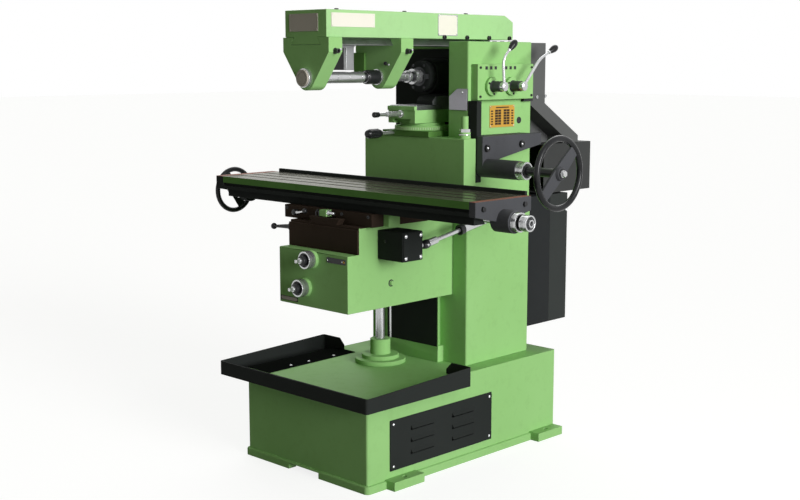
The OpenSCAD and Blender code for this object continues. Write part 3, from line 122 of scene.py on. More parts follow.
def product(tree, first, second):
    """Two value sockets multiplied; the second may be a plain number."""
    node = add(tree, "ShaderNodeMath", operation="MULTIPLY")
    wire(tree, (first, node.inputs[0]))
    if isinstance(second, (int, float)):
        node.inputs[1].default_value = second
    else:
        wire(tree, (second, node.inputs[1]))
    return node.outputs[0]


print("node helpers ready")

# %% [markdown]
# ## Light, world and floor
# The picture was taken against white with one broad light from the right, so the right
# sides are bright and the front is in deep shade. A sun with a wide angle gives that
# key, an upper lamp brightens the overarm, and a weak second sun keeps the back from
# going flat. The camera and mirror-like surfaces see a white world, while matt surfaces
# get only a low fill, so the background costs the object no contrast.

# %% World
WHITE = (1.0, 1.0, 1.0, 1.0)
FILL_TINT = (0.92, 1.0, 0.55, 1.0)
FILL_LEVEL = 0.086
world = bpy.data.worlds.new("studio")
scene.world = world
world.use_nodes = True
sky = world.node_tree
sky.nodes.clear()
sky_out = add(sky, "ShaderNodeOutputWorld")
sky_mix = add(sky, "ShaderNodeMixShader")
sky_fill = add(sky, "ShaderNodeBackground", {"Color": FILL_TINT, "Strength": FILL_LEVEL})
sky_white = add(sky, "ShaderNodeBackground", {"Color": WHITE, "Strength": 1.0})
rays = add(sky, "ShaderNodeLightPath").outputs
mirror_rays = either(sky, rays["Is Glossy Ray"], rays["Is Transmission Ray"])
seen_rays = either(sky, rays["Is Camera Ray"], mirror_rays)
wire(sky, (seen_rays, sky_mix.inputs[0]), (sky_fill.outputs[0], sky_mix.inputs[1]),
     (sky_white.outputs[0], sky_mix.inputs[2]), (sky_mix.outputs[0], sky_out.inputs[0]))
print("fill", FILL_LEVEL)


# %% Lamps
def hang_lamp(name, kind, energy, towards, place=(0.0, 0.0, 0.0)):
    """A lamp whose light comes from the given direction."""
    light = bpy.data.lights.new(name, kind)
    light.energy = energy
    lamp = bpy.data.objects.new(name, light)
    lamp.location = place
    lamp.rotation_euler = Vector(towards).to_track_quat("Z", "Y").to_euler()
    scene.collection.objects.link(lamp)
    return light


key_light = hang_lamp("key", "SUN", 2.75, (0.98, -0.06, 0.19))
key_light.angle = math.radians(28.0)
back_light = hang_lamp("back", "SUN", 1.05, (-0.55, 0.55, 0.63))
back_light.angle = math.radians(50.0)
upper_light = hang_lamp("upper", "AREA", 16.0, (0.93, -0.1, 0.35), (2.5, -0.2, 2.2))
upper_light.size = 1.3
print("lamps", key_light.energy, back_light.energy, upper_light.energy)

# %% [markdown]
# The floor is matt grey for the light that falls on it, and glows for the camera and for
# mirrors, so that it reads as white and still keeps the machine's shadow.

# %% Floor
FLOOR_HALF = 40.0
FLOOR_GREY = (0.30, 0.30, 0.30, 1.0)
FLOOR_GLOW = 0.84
floor_mesh = bpy.data.meshes.new("floor")
bm = bmesh.new()
bmesh.ops.create_grid(bm, x_segments=1, y_segments=1, size=FLOOR_HALF)
bm.to_mesh(floor_mesh)
bm.free()
floor = bpy.data.objects.new("floor", floor_mesh)
scene.collection.objects.link(floor)
floor_paint = bpy.data.materials.new("floor_white")
floor_paint.use_nodes = True
ground = floor_paint.node_tree
ground.nodes.clear()
ground_out = add(ground, "ShaderNodeOutputMaterial")
ground_mix = add(ground, "ShaderNodeMixShader")
ground_matt = add(ground, "ShaderNodeBsdfDiffuse", {"Color": FLOOR_GREY}).outputs[0]
ground_sum = add(ground, "ShaderNodeAddShader")
ground_glow = add(ground, "ShaderNodeEmission", {"Color": WHITE, "Strength": FLOOR_GLOW})
rays = add(ground, "ShaderNodeLightPath").outputs
seen_rays = either(ground, rays["Is Camera Ray"], rays["Is Glossy Ray"])
wire(ground, (ground_matt, ground_sum.inputs[0]), (ground_glow.outputs[0], ground_sum.inputs[1]),
     (seen_rays, ground_mix.inputs[0]), (ground_matt, ground_mix.inputs[1]),
     (ground_sum.outputs[0], ground_mix.inputs[2]), (ground_mix.outputs[0], ground_out.inputs[0]))
floor_mesh.materials.append(floor_paint)
print("floor", floor.name)

# %% [markdown]
# ## Finishes
# Machine enamel is brushed or sprayed thickly on filled castings. It has a faint orange
# peel, slow shifts of tone, and a little bare metal or grime at the corners. One node
# group makes the slow shifts and the peel, another finds the corners, and every paint
# uses both with its own values.


# %% Tone and peel group
def new_group(name, inputs, outputs):
    """An empty shader group whose float inputs have the given defaults."""
    group = bpy.data.node_groups.new(name, "ShaderNodeTree")
    for label, default in inputs.items():
        socket = group.interface.new_socket(label, in_out="INPUT", socket_type="NodeSocketFloat")
        socket.default_value = default
    for label in outputs:
        group.interface.new_socket(label, in_out="OUTPUT", socket_type="NodeSocketFloat")
    place = add(group, "ShaderNodeTexCoord").outputs["Object"]
    return group, add(group, "NodeGroupInput").outputs, add(group, "NodeGroupOutput").inputs, place


PEEL_SCALE = 420.0
tone_group, tone_in, tone_out, tone_place = new_group(
    "tone_and_peel", {"Peel Scale": PEEL_SCALE}, ["Tone", "Peel", "Smudge"])
tone_slow = noise(tone_group, tone_place, 2.4)
tone_peel = noise(tone_group, tone_place, PEEL_SCALE, 2.0)
tone_smear = noise(tone_group, tone_place, 26.0, 7.0, 0.7)
tone_shift = spread(tone_group, tone_slow.outputs["Fac"], 0.3, 0.7)
tone_dirt = spread(tone_group, tone_smear.outputs["Fac"], 0.52, 0.74)
wire(tone_group, (tone_in["Peel Scale"], tone_peel.inputs["Scale"]), (tone_shift, tone_out["Tone"]),
     (tone_peel.outputs["Fac"], tone_out["Peel"]), (tone_dirt, tone_out["Smudge"]))
print("group", tone_group.name)

# %% Corner group
edge_group, edge_in, edge_out, edge_place = new_group("corner_wear", {"Reach": 0.003}, ["Corner"])
edge_soft = add(edge_group, "ShaderNodeBevel", samples=4)
edge_true = add(edge_group, "ShaderNodeNewGeometry")
edge_dot = add(edge_group, "ShaderNodeVectorMath", operation="DOT_PRODUCT")
wire(edge_group, (edge_in["Reach"], edge_soft.inputs["Radius"]),
     (edge_soft.outputs["Normal"], edge_dot.inputs[0]), (edge_true.outputs["Normal"], edge_dot.inputs[1]))
edge_patch = noise(edge_group, edge_place, 36.0, 5.0, 0.7)
edge_rub = spread(edge_group, edge_patch.outputs["Fac"], 0.42, 0.62)
edge_turn = spread(edge_group, edge_dot.outputs["Value"], 0.995, 0.93)
wire(edge_group, (product(edge_group, edge_turn, edge_rub), edge_out["Corner"]))
print("group", edge_group.name)

# %% [markdown]
# A finish mixes display colours by masks. Its colour and roughness are linked, and all
# that stays the same over a surface is set on the shader's own sockets.


# %% Finish helpers
def rgb(red, green, blue):
    """A display colour of 0 to 255 as the linear colour that a shader takes."""
    lin = []
    for level in (red, green, blue):
        share = level / 255.0
        lin.append(share / 12.92 if share < 0.04045 else ((share + 0.055) / 1.055) ** 2.4)
    return (*lin, 1.0)


def blend_colour(tree, mask, below, above):
    """A colour mix; below may be a socket or a colour, above is a colour."""
    node = add(tree, "ShaderNodeMix", data_type="RGBA")
    wire(tree, (mask, node.inputs["Factor"]))
    if isinstance(below, tuple):
        node.inputs[6].default_value = below
    else:
        wire(tree, (below, node.inputs[6]))
    node.inputs[7].default_value = above
    return node.outputs[2]


def new_material(name):
    """A material with an empty tree, its output and its main shader."""
    paint = bpy.data.materials.new(name)
    paint.use_nodes = True
    tree = paint.node_tree
    tree.nodes.clear()
    out = add(tree, "ShaderNodeOutputMaterial")
    main = add(tree, "ShaderNodeBsdfPrincipled")
    wire(tree, (main.outputs[0], out.inputs[0]))
    return paint, tree, main.inputs


def raise_surface(tree, main, height, strength, distance):
    """A bump on the main shader's normal."""
    bump = add(tree, "ShaderNodeBump", {"Strength": strength, "Distance": distance})
    wire(tree, (height, bump.inputs["Height"]), (bump.outputs["Normal"], main["Normal"]))


def stretched_noise(tree, stretch, scale, detail):
    """A noise value on Object coordinates that are stretched, and those coordinates."""
    place = add(tree, "ShaderNodeTexCoord").outputs["Object"]
    turn = add(tree, "ShaderNodeMapping", {"Scale": stretch})
    wire(tree, (place, turn.inputs["Vector"]))
    return noise(tree, turn.outputs["Vector"], scale, detail, 0.5).outputs["Fac"], place


print("finish helpers ready")


# %% Paint maker
def make_paint(name, gloss, peel, lift, shine, light, dark, grime, worn):
    """Sprayed enamel: two tones, smudges that dull it, and rubbed corners."""
    paint, tree, main = new_material(name)
    tone = add(tree, "ShaderNodeGroup", node_tree=tone_group)
    tone.inputs["Peel Scale"].default_value = peel
    corner = add(tree, "ShaderNodeGroup", node_tree=edge_group)
    corner.inputs["Reach"].default_value = 0.0022
    smudge = tone.outputs["Smudge"]
    colour = blend_colour(tree, tone.outputs["Tone"], rgb(*dark), rgb(*light))
    colour = blend_colour(tree, product(tree, smudge, 0.12), colour, rgb(*grime))
    colour = blend_colour(tree, product(tree, corner.outputs["Corner"], 0.4), colour, rgb(*worn))
    dull = spread(tree, smudge, 0.0, 1.0, gloss, gloss + 0.14)
    wire(tree, (colour, main["Base Color"]), (dull, main["Roughness"]))
    main["Specular IOR Level"].default_value = shine
    raise_surface(tree, main, tone.outputs["Peel"], lift, 0.0005)
    return paint


# %% Paints
# Each row: name, gloss, peel, lift, shine, then the light, dark, grime and worn colours.
finish = {}
for row in (
        ("green_enamel", 0.44, 420, 0.1, 0.02, (153, 201, 130), (146, 195, 122), (92, 128, 70),
         (178, 216, 160)),
        # A paler copy of the green enamel, used as a painted sheen on the overarm.
        ("pale_green_enamel", 0.42, 420, 0.1, 0.04, (170, 213, 152), (162, 207, 143), (104, 136, 84),
         (190, 222, 174)),
        # Deep green paint for the motor and the rear carriage; on the table's band and the rear support's
        # slab its darker tone is painted shade.
        ("deep_green_enamel", 0.44, 420, 0.1, 0.03, (98, 142, 74), (84, 126, 62), (52, 62, 34),
         (132, 160, 112)),
        ("black_satin", 0.56, 420, 0.1, 0.02, (46, 49, 48), (40, 43, 42), (56, 55, 52), (72, 74, 73)),
        # A black sheet paint; behind the louvres it is painted shade.
        ("sheet_black", 0.6, 420, 0.1, 0.0, (24, 26, 25), (20, 22, 21), (34, 33, 31), (52, 54, 53)),
        ("guard_grey", 0.54, 700, 0.1, 0.03, (44, 46, 47), (38, 40, 41), (58, 58, 56), (78, 80, 82)),
        ("cover_grey", 0.54, 700, 0.1, 0.03, (70, 71, 71), (62, 63, 63), (52, 51, 49), (96, 97, 97)),
        ("door_grey", 0.54, 700, 0.1, 0.03, (57, 60, 59), (50, 53, 52), (52, 51, 49), (84, 86, 86)),
        # A grey that paints the sheen on the belt guard's satin black.
        ("painted_sheen_grey", 0.54, 700, 0.1, 0.03, (98, 99, 99), (90, 91, 91), (66, 65, 62), (124, 125, 125)),
        ("bracket_grey", 0.5, 420, 0.1, 0.06, (80, 81, 85), (70, 71, 75), (44, 40, 36), (112, 114, 116)),
        ("pale_grey", 0.45, 420, 0.1, 0.14, (112, 114, 117), (100, 102, 105), (74, 70, 64),
         (150, 150, 150)),
        ("gloss_black", 0.24, 300, 0.05, 0.22, (30, 31, 33), (24, 25, 27), (42, 41, 40), (80, 80, 80)),
        # A dark brown that is part oil and part painted shade under the table.
        ("oily_brown", 0.56, 520, 0.1, 0.03, (62, 50, 42), (46, 38, 32), (30, 24, 20), (76, 66, 58)),
        ("red_oxide", 0.6, 420, 0.1, 0.14, (142, 84, 60), (112, 66, 50), (62, 46, 38), (150, 120, 104)),
        ("cream_plate", 0.34, 900, 0.03, 0.14, (238, 234, 222), (230, 226, 214), (190, 184, 168),
         (244, 240, 230)),
        ("grey_plate", 0.3, 900, 0.03, 0.14, (186, 178, 168), (164, 156, 148), (128, 104, 92),
         (206, 200, 192)),
        ("chart_orange", 0.4, 900, 0.03, 0.04, (206, 160, 74), (196, 150, 66), (150, 106, 46),
         (224, 186, 116)),
        ("chart_ink", 0.5, 900, 0.03, 0.14, (52, 38, 28), (44, 32, 24), (70, 54, 40), (92, 74, 56)),
        ("black_oxide", 0.34, 900, 0.04, 0.3, (34, 35, 37), (27, 28, 30), (50, 48, 46), (108, 108, 108)),
        ("belt_rubber", 0.7, 600, 0.1, 0.14, (34, 34, 34), (28, 28, 28), (52, 50, 48), (52, 52, 52))):
    finish[row[0]] = make_paint(*row)
print("paints", len(finish))


# %% Metals
def make_metal(name, gloss, extra_rough, bright, dull, stain, stretch=(1.0, 1.0, 1.0), bare=1.0, oil=0.4):
    """Bare metal: fine tool marks stretched one way, and slow stains of oil."""
    metal, tree, main = new_material(name)
    marks = stretched_noise(tree, stretch, 240.0, 3.0)[0]
    tone = add(tree, "ShaderNodeGroup", node_tree=tone_group)
    colour = blend_colour(tree, marks, rgb(*dull), rgb(*bright))
    colour = blend_colour(tree, product(tree, tone.outputs["Smudge"], oil), colour, rgb(*stain))
    rough = spread(tree, marks, 0.25, 0.75, gloss, gloss + extra_rough)
    wire(tree, (colour, main["Base Color"]), (rough, main["Roughness"]))
    main["Metallic"].default_value = bare
    raise_surface(tree, main, marks, 0.04, 0.0002)
    finish[name] = metal


make_metal("bright_steel", 0.2, 0.07, (206, 207, 208), (190, 191, 193), (120, 112, 100), bare=0.8, oil=0.14)
make_metal("ground_steel", 0.26, 0.2, (172, 173, 174), (140, 141, 143), (100, 92, 80), (1.0, 8.0, 8.0))
make_metal("zinc_sheet", 0.3, 0.14, (148, 146, 152), (132, 130, 136), (100, 96, 94))
make_metal("dark_iron", 0.4, 0.2, (82, 83, 85), (58, 59, 61), (44, 40, 34))
make_metal("bronze", 0.3, 0.18, (190, 150, 92), (160, 120, 66), (92, 70, 40))
make_metal("slot_iron", 0.45, 0.2, (84, 82, 70), (64, 62, 52), (30, 25, 19))
print("finishes", len(finish))

# %% [markdown]
# The table's top is ground iron under a film of old oil: olive and brown along most of
# its length, and a lighter grey towards the left that is a painted sheen. It is smooth
# enough to mirror the column and the white room. A stretched noise gives the streaks of
# the grinder, and a slow gradient along the table paints the sheen at the left.

# %% Table top
finish["table_top_iron"], top_tree, top_main = new_material("table_top_iron")
top_streak, top_place = stretched_noise(top_tree, (1.2, 16.0, 1.0), 9.0, 5.0)
top_split = add(top_tree, "ShaderNodeSeparateXYZ")
wire(top_tree, (top_place, top_split.inputs["Vector"]))
# A lighter grey towards the left end of the top: a painted sheen.
top_sheen_ramp = spread(top_tree, top_split.outputs["X"], -0.02, -0.24)
top_sheen_fade = spread(top_tree, top_split.outputs["X"], -0.6, -0.45, 0.45, 1.0)
top_sheen_ramp = product(top_tree, top_sheen_ramp, top_sheen_fade)
top_sheen_mask = product(top_tree, top_sheen_ramp, spread(top_tree, top_streak, 0.3, 0.6))
top_tone = add(top_tree, "ShaderNodeGroup", node_tree=tone_group)
top_colour = blend_colour(top_tree, top_streak, rgb(112, 114, 98), rgb(140, 140, 130))
top_colour = blend_colour(top_tree, top_sheen_mask, top_colour, rgb(162, 161, 154))
top_dirt = product(top_tree, top_tone.outputs["Smudge"], 0.5)
top_colour = blend_colour(top_tree, top_dirt, top_colour, rgb(66, 50, 36))
top_rough = spread(top_tree, top_streak, 0.3, 0.7, 0.17, 0.26)
wire(top_tree, (top_colour, top_main["Base Color"]), (top_rough, top_main["Roughness"]))
top_main["Metallic"].default_value = 0.7
top_main["Specular IOR Level"].default_value = 0.1
top_main["Specular Tint"].default_value = (0.36, 0.36, 0.33, 1.0)
raise_surface(top_tree, top_main, top_streak, 0.05, 0.0002)
print("finishes", len(finish))

# %% [markdown]
# ## Rounded edges on the castings
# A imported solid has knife-sharp edges, which no casting has. A copy of the solid is
# merged, its flat faces are joined, and its sharp edges are bevelled. The copy then
# stands for the node. A rule may give faces different finishes by where they lie.
# Shapes are worked out in millimetres and made metres when a piece is placed. Finishes
# are named in one string, in the order of the faces' numbers.

# %% Placing helpers
CREASE = math.radians(38.0)


def place_piece(bm, name, body, finishes, stands_for=()):
    """Turn a bmesh in millimetres into a finished piece that rides a body."""
    bmesh.ops.scale(bm, vec=(MM, MM, MM), verts=bm.verts)
    for face in bm.faces:
        face.smooth = True
    for edge in bm.edges:
        edge.smooth = len(edge.link_faces) == 2 and edge.calc_face_angle(0.0) < CREASE
    mesh = bpy.data.meshes.new(name)
    bm.to_mesh(mesh)
    bm.free()
    for label in finishes.split():
        mesh.materials.append(finish[label])
    piece = bpy.data.objects.new(name, mesh)
    scene.collection.objects.link(piece)
    weigh = piece.modifiers.new("flat_faces", "WEIGHTED_NORMAL")
    weigh.keep_sharp = True
    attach(piece, body)
    for node in stands_for:
        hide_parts(node)
    print(name, "rides", body, "faces", len(mesh.polygons))


def flatten(bm):
    """Join triangles that lie in one plane, and cut the faces that this leaves hollow."""
    bmesh.ops.dissolve_limit(bm, angle_limit=math.radians(0.6), verts=bm.verts, edges=bm.edges)
    bmesh.ops.connect_verts_concave(bm, faces=bm.faces)


def merged_copy(node):
    """A bmesh of the node's solid in millimetres, its triangles joined into flat faces."""
    bm = bmesh.new()
    bm.from_mesh(nodes[node].data)
    bmesh.ops.scale(bm, vec=(1.0 / MM, 1.0 / MM, 1.0 / MM), verts=bm.verts)
    bmesh.ops.remove_doubles(bm, verts=bm.verts, dist=0.01)
    flatten(bm)
    for face in bm.faces:
        face.material_index = 0
    return bm


def sharp_edges(bm, over=32.0):
    """Edges between two faces that turn by more than the given angle."""
    limit = math.radians(over)
    return [e for e in bm.edges if len(e.link_faces) == 2 and e.calc_face_angle(0.0) > limit]


def soften(bm, edges, width, segments=2, clamp=False):
    """Round the given edges."""
    bmesh.ops.bevel(bm, geom=edges, offset=width, offset_type="OFFSET", affect="EDGES", segments=segments,
                    profile=0.5, material=-1, clamp_overlap=clamp)


def dress(node, width, finishes, rule=None, clamp=False):
    """The node's solid with rounded edges; a rule picks a finish from a face's middle and normal."""
    bm = merged_copy(node)
    soften(bm, sharp_edges(bm), width, 2, clamp)
    if rule:
        bm.normal_update()
        for face in bm.faces:
            face.material_index = rule(face.calc_center_median(), face.normal)
    place_piece(bm, node + "_dressed", body_of[node], finishes, [node])


# %% Castings and sheet parts of one finish
for node, width, slot, label in (
        ("way_cover", 0.8, "black_paint", "black_satin"),
        ("vent_panel", 1.0, "black_paint", "black_satin"),
        ("nut_pedestal", 2.5, "green_paint", "green_enamel"),
        ("spindle_cover", 1.2, "black_paint", "black_satin"),
        ("gear_panel", 3.0, "green_paint", "green_enamel"),
        # The belt guard's grey is a painted sheen on satin black paint.
        ("belt_guard", 2.0, "guard_paint", "painted_sheen_grey"),
        ("switch_cabinet", 1.5, "guard_paint", "guard_grey"),
        ("cabinet_door", 1.5, "guard_paint", "door_grey"),
        ("feed_output_box", 2.5, "deep_green_paint", "green_enamel"),
        ("side_bracket", 2.0, "grey_iron", "bracket_grey"),
        ("knee_apron", 1.0, "black_paint", "oily_brown"),
        ("table_strip", 1.0, "black_paint", "black_satin"),
        ("rear_bed", 2.5, "green_paint", "green_enamel"),
        ("rear_carriage", 1.5, "deep_green_paint", "deep_green_enamel"),
        ("swivel_base", 1.5, "green_paint", "green_enamel")):
    dress(node, width, label)
dress("chip_tray", 1.5, "black_satin", clamp=True)
dress("motor_cover", 2.0, "cover_grey", clamp=True)

# %% [markdown]
# The base flares at its foot in a soft moulding. Its upper rim is one wide bevel with
# more segments, made before the other edges get their small rounding.

# %% Base
FOOT_Z = 26.0
bm = merged_copy("base_casting")
foot_rim = [e for e in sharp_edges(bm) if e.is_convex and all(abs(v.co.z - FOOT_Z) < 0.5 for v in e.verts)]
soften(bm, foot_rim, 6.5, 4, True)
soften(bm, sharp_edges(bm, 35.0), 2.5, 2, True)
place_piece(bm, "base_casting_dressed", "frame", "green_enamel", ["base_casting"])

# %% [markdown]
# Some solids carry two or three finishes. The table has a bare ground top, a green band
# below it whose deeper green is painted shade, and a dark rail; the saddle is a dark brown
# of oil and painted shade except at its green ends; the overarm's dovetail is bare steel,
# and its sides and top are a paler green that is a painted sheen. A rule per solid reads a
# face's middle and normal.

# %% Rules by place
FACING = 0.7
SPINDLE_Z = 1316.0
LEAD_Y = -267.0


def table_rule(middle, normal):
    """Ground top, slot walls, green band in a deeper green that is painted shade, and the dark rail under
    it.
    """
    if normal.z > FACING and middle.z > 953.0:
        return 0
    if -392.0 < middle.y < -142.0 and middle.z > 928.0:
        return 1
    # The band's deeper green is painted shade.
    return 2 if middle.z > 934.5 else 3


def saddle_rule(middle, normal):
    """Green at the right end and on the stop block, elsewhere a dark brown of oil and painted shade."""
    return 0 if middle.x > 202.0 or middle.y < -400.5 else 1


def overarm_rule(middle, normal):
    """Sides and top in a paler green that is a painted sheen, bare dovetail, and the front face in full
    green.
    """
    if normal.y < -FACING:
        return 2
    return 1 if middle.z < 1444.0 else 0


def knee_rule(middle, normal):
    """Ways and step face in a dark brown of oil and painted shade, on a green knee."""
    step_face = normal.y < -FACING and middle.y > -430.0
    return 1 if middle.z > 836.0 or step_face else 0


def column_rule(middle, normal):
    """A black field round the spindle."""
    from_axis = math.hypot(middle.x, middle.z - SPINDLE_Z)
    return 1 if from_axis < 90.0 and middle.y < 150.0 else 0


def slide_rule(middle, normal):
    """A bare top on the small slide."""
    return 1 if normal.z > FACING and middle.z > 1199.0 else 0


def guard_lit_side_rule(middle, normal):
    """A paler grey on the right side, which faces the light: painted light."""
    return 1 if normal.x > FACING else 0


def gearbox_rule(middle, normal):
    """A bare shaft end behind the box."""
    return 1 if middle.y > -249.0 else 0


def end_rule(middle, normal):
    """Red primer on top of an end plate, and dark bolts on its outer face."""
    if normal.z > FACING and middle.z > 950.0:
        return 1
    return 2 if middle.x > 640.5 and abs(middle.y - LEAD_Y) > 60.0 else 0


dress("table", 1.0, "table_top_iron slot_iron deep_green_enamel black_satin", table_rule)
dress("saddle", 2.0, "green_enamel oily_brown", saddle_rule)
# The overarm's paler sides and top are a painted sheen of the strong light on them.
dress("overarm", 3.0, "pale_green_enamel ground_steel green_enamel", overarm_rule)
dress("knee", 3.0, "green_enamel oily_brown", knee_rule)
dress("column", 3.0, "green_enamel black_satin", column_rule)
dress("top_slide", 1.5, "green_enamel ground_steel", slide_rule)
# The guard's right side gets a paler grey: painted light on the lit side.
dress("slide_guard", 1.5, "black_satin pale_grey", guard_lit_side_rule)
dress("feed_gearbox", 2.0, "black_satin bright_steel", gearbox_rule)
dress("left_bracket", 2.0, "black_satin red_oxide black_oxide", end_rule)
dress("right_bracket", 2.0, "bracket_grey red_oxide black_oxide", end_rule)

# %% [markdown]
# ## Shape helpers for the small parts
# Handwheels, dials, levers and screws are turned or bent from bar. A turned part is an
# outline of a few points that is spun round its axis, with its corners rounded first.
# A bent bar is one circle that is extruded from point to point. Each helper adds one
# closed solid to a bmesh with its own finish, so a whole lever is one piece.

# %% Turned parts
RIGHT = (1, 0, 0)
LEFT = (-1, 0, 0)
FRONT = (0, -1, 0)
BACK = (0, 1, 0)
UP = (0, 0, 1)


def pour(bm, part):
    """Add a part to a bmesh, and free the part."""
    carrier = bpy.data.meshes.new("carrier")
    part.to_mesh(carrier)
    part.free()
    bm.from_mesh(carrier)
    bpy.data.meshes.remove(carrier)


def join(bm, part, index=0):
    """Add a closed part to a bmesh with one finish."""
    bmesh.ops.remove_doubles(part, verts=part.verts, dist=0.002)
    bmesh.ops.recalc_face_normals(part, faces=part.faces)
    for face in part.faces:
        face.material_index = index
    pour(bm, part)


def stand(part, seat, axis, lift=0.0):
    """Turn a part made along Z so that it stands on a seat along an axis."""
    turn = Vector(axis).to_track_quat("Z", "Y").to_matrix().to_4x4()
    move = Matrix.Translation(Vector(seat)) @ turn @ Matrix.Translation((0.0, 0.0, lift))
    bmesh.ops.transform(part, matrix=move, verts=part.verts)


def way_and_side(axis):
    """The axis as a unit vector, and one square to it."""
    along = Vector(axis).normalized()
    return along, along.orthogonal().normalized()


def spin_round(part, centre, along, steps):
    """Sweep all that a part holds once round an axis."""
    bmesh.ops.spin(part, geom=part.verts[:] + part.edges[:], cent=centre, axis=along, angle=math.tau,
                   steps=steps, use_merge=True)


def turned(bm, outline, centre, axis, index=0, ease=0.0, steps=48, hollow=True):
    """Spin an outline of (along, radius) round an axis through the centre; a hollow one is a loop."""
    part = bmesh.new()
    along, side = way_and_side(axis)
    corners = [part.verts.new(Vector(centre) + along * a + side * r) for a, r in outline]
    for first, second in zip(corners, corners[1:]):
        part.edges.new((first, second))
    if hollow:
        part.edges.new((corners[-1], corners[0]))
    if ease:
        bmesh.ops.bevel(part, geom=corners if hollow else corners[1:-1], offset=ease, offset_type="OFFSET",
                        affect="VERTICES", segments=2, profile=0.5, material=-1, clamp_overlap=True)
    spin_round(part, centre, along, steps)
    join(bm, part, index)


def lathe(bm, outline, centre, axis, index=0, ease=0.8, steps=48):
    """A solid turned part, whose outline is closed on the axis at both ends."""
    closed = [(outline[0][0], 0), *outline, (outline[-1][0], 0)]
    turned(bm, closed, centre, axis, index, ease, steps, False)


def rod(bm, low, high, radius, centre, axis, index=0, ease=0.8, steps=48):
    """A plain round bar."""
    lathe(bm, [(low, radius), (high, radius)], centre, axis, index, ease, steps)


def ring(bm, low, high, bore, radius, centre, axis, index=0, ease=0.8, steps=48):
    """A plain sleeve."""
    turned(bm, [(low, bore), (low, radius), (high, radius), (high, bore)], centre, axis, index, ease, steps)


def hoop(bm, centre, axis, middle_r, bar_r, index=0, steps=72, sides=16):
    """A round rim: a circle spun round an axis."""
    part = bmesh.new()
    along, side = way_and_side(axis)
    bmesh.ops.create_circle(part, segments=sides, radius=bar_r)
    stand(part, Vector(centre) + side * middle_r, along.cross(side))
    spin_round(part, centre, along, steps)
    join(bm, part, index)


print("turning helpers ready")


# %% Bars, plates and balls
def eased(points, reach, steps=6):
    """The route with each inner corner rounded from reach before it to reach after it."""
    points = [Vector(p) for p in points]
    route = [points[0]]
    for before, corner, after in zip(points, points[1:], points[2:]):
        start = corner + (before - corner).normalized() * reach
        end = corner + (after - corner).normalized() * reach
        for step in range(steps + 1):
            t = step / steps
            route.append(start * (1 - t) ** 2 + corner * 2 * t * (1 - t) + end * t ** 2)
    return route + [points[-1]]


def bent_bar(bm, points, first_r, last_r, index=0, sides=16):
    """A round bar along a route whose radius changes evenly: a circle extruded step by step."""
    part = bmesh.new()
    route = [Vector(p) for p in points]
    bmesh.ops.create_circle(part, segments=sides, radius=1.0)
    heading = (route[1] - route[0]).normalized()
    turn = heading.to_track_quat("Z", "Y")
    last = Matrix.Translation(route[0]) @ turn.to_matrix().to_4x4() @ Matrix.Scale(first_r, 4)
    bmesh.ops.transform(part, matrix=last, verts=part.verts)
    rim = part.edges[:]
    for place in range(1, len(route)):
        ahead = route[min(place + 1, len(route) - 1)] - route[place - 1]
        turn = heading.rotation_difference(ahead.normalized()) @ turn
        heading = ahead.normalized()
        size = first_r + (last_r - first_r) * place / (len(route) - 1)
        here = Matrix.Translation(route[place]) @ turn.to_matrix().to_4x4() @ Matrix.Scale(size, 4)
        grown = bmesh.ops.extrude_edge_only(part, edges=rim)["geom"]
        rim = [g for g in grown if isinstance(g, bmesh.types.BMEdge) and g.is_boundary]
        new_verts = [g for g in grown if isinstance(g, bmesh.types.BMVert)]
        bmesh.ops.transform(part, matrix=here @ last.inverted(), verts=new_verts)
        last = here
    bmesh.ops.holes_fill(part, edges=part.edges, sides=0)
    join(bm, part, index)


def cuboid(low, high):
    """A sharp box between two corners."""
    part = bmesh.new()
    bmesh.ops.create_cube(part, size=1.0)
    bmesh.ops.scale(part, vec=Vector(high) - Vector(low), verts=part.verts)
    bmesh.ops.translate(part, vec=(Vector(low) + Vector(high)) / 2, verts=part.verts)
    return part


def block(bm, low, high, ease=1.0, index=0):
    """A bar or plate between two corners, with rounded edges."""
    part = cuboid(low, high)
    soften(part, part.edges[:], ease)
    join(bm, part, index)


def slab(bm, outline, rise, ease=1.0, index=0):
    """A flat outline raised by a vector, with rounded edges."""
    part = bmesh.new()
    face = part.faces.new([part.verts.new(p) for p in outline])
    raised = bmesh.ops.extrude_face_region(part, geom=[face])["geom"]
    bmesh.ops.translate(part, vec=rise, verts=[g for g in raised if isinstance(g, bmesh.types.BMVert)])
    bmesh.ops.recalc_face_normals(part, faces=part.faces)
    soften(part, sharp_edges(part), ease)
    join(bm, part, index)


def ball(bm, centre, radius, index=0):
    """A ball knob."""
    part = bmesh.new()
    bmesh.ops.create_uvsphere(part, u_segments=28, v_segments=18, radius=radius)
    bmesh.ops.translate(part, vec=centre, verts=part.verts)
    join(bm, part, index)


print("bar helpers ready")

# %% [markdown]
# Screws are the smallest parts and are seen everywhere, so three kinds are made with
# care: a hexagon head with a washer, a round head with a hexagon socket, and a low dome.


# %% Screws
def top_face(part):
    """The highest face of a part."""
    return max(part.faces, key=lambda face: face.calc_center_median().z)


def capped_prism(sides, radius, height):
    """A prism along Z with closed ends."""
    part = bmesh.new()
    bmesh.ops.create_cone(part, cap_ends=True, segments=sides, radius1=radius, radius2=radius, depth=height)
    return part


def hex_head(bm, seat, axis, across, height, index=0):
    """A hexagon head with a chamfered top, on a washer."""
    washer = height * 0.2
    rod(bm, 0, washer, across * 0.66, seat, axis, index, washer * 0.3, 24)
    part = capped_prism(6, across / 2 / math.cos(math.pi / 6), height)
    soften(part, list(top_face(part).edges), height * 0.16)
    stand(part, seat, axis, height / 2 + washer)
    join(bm, part, index)


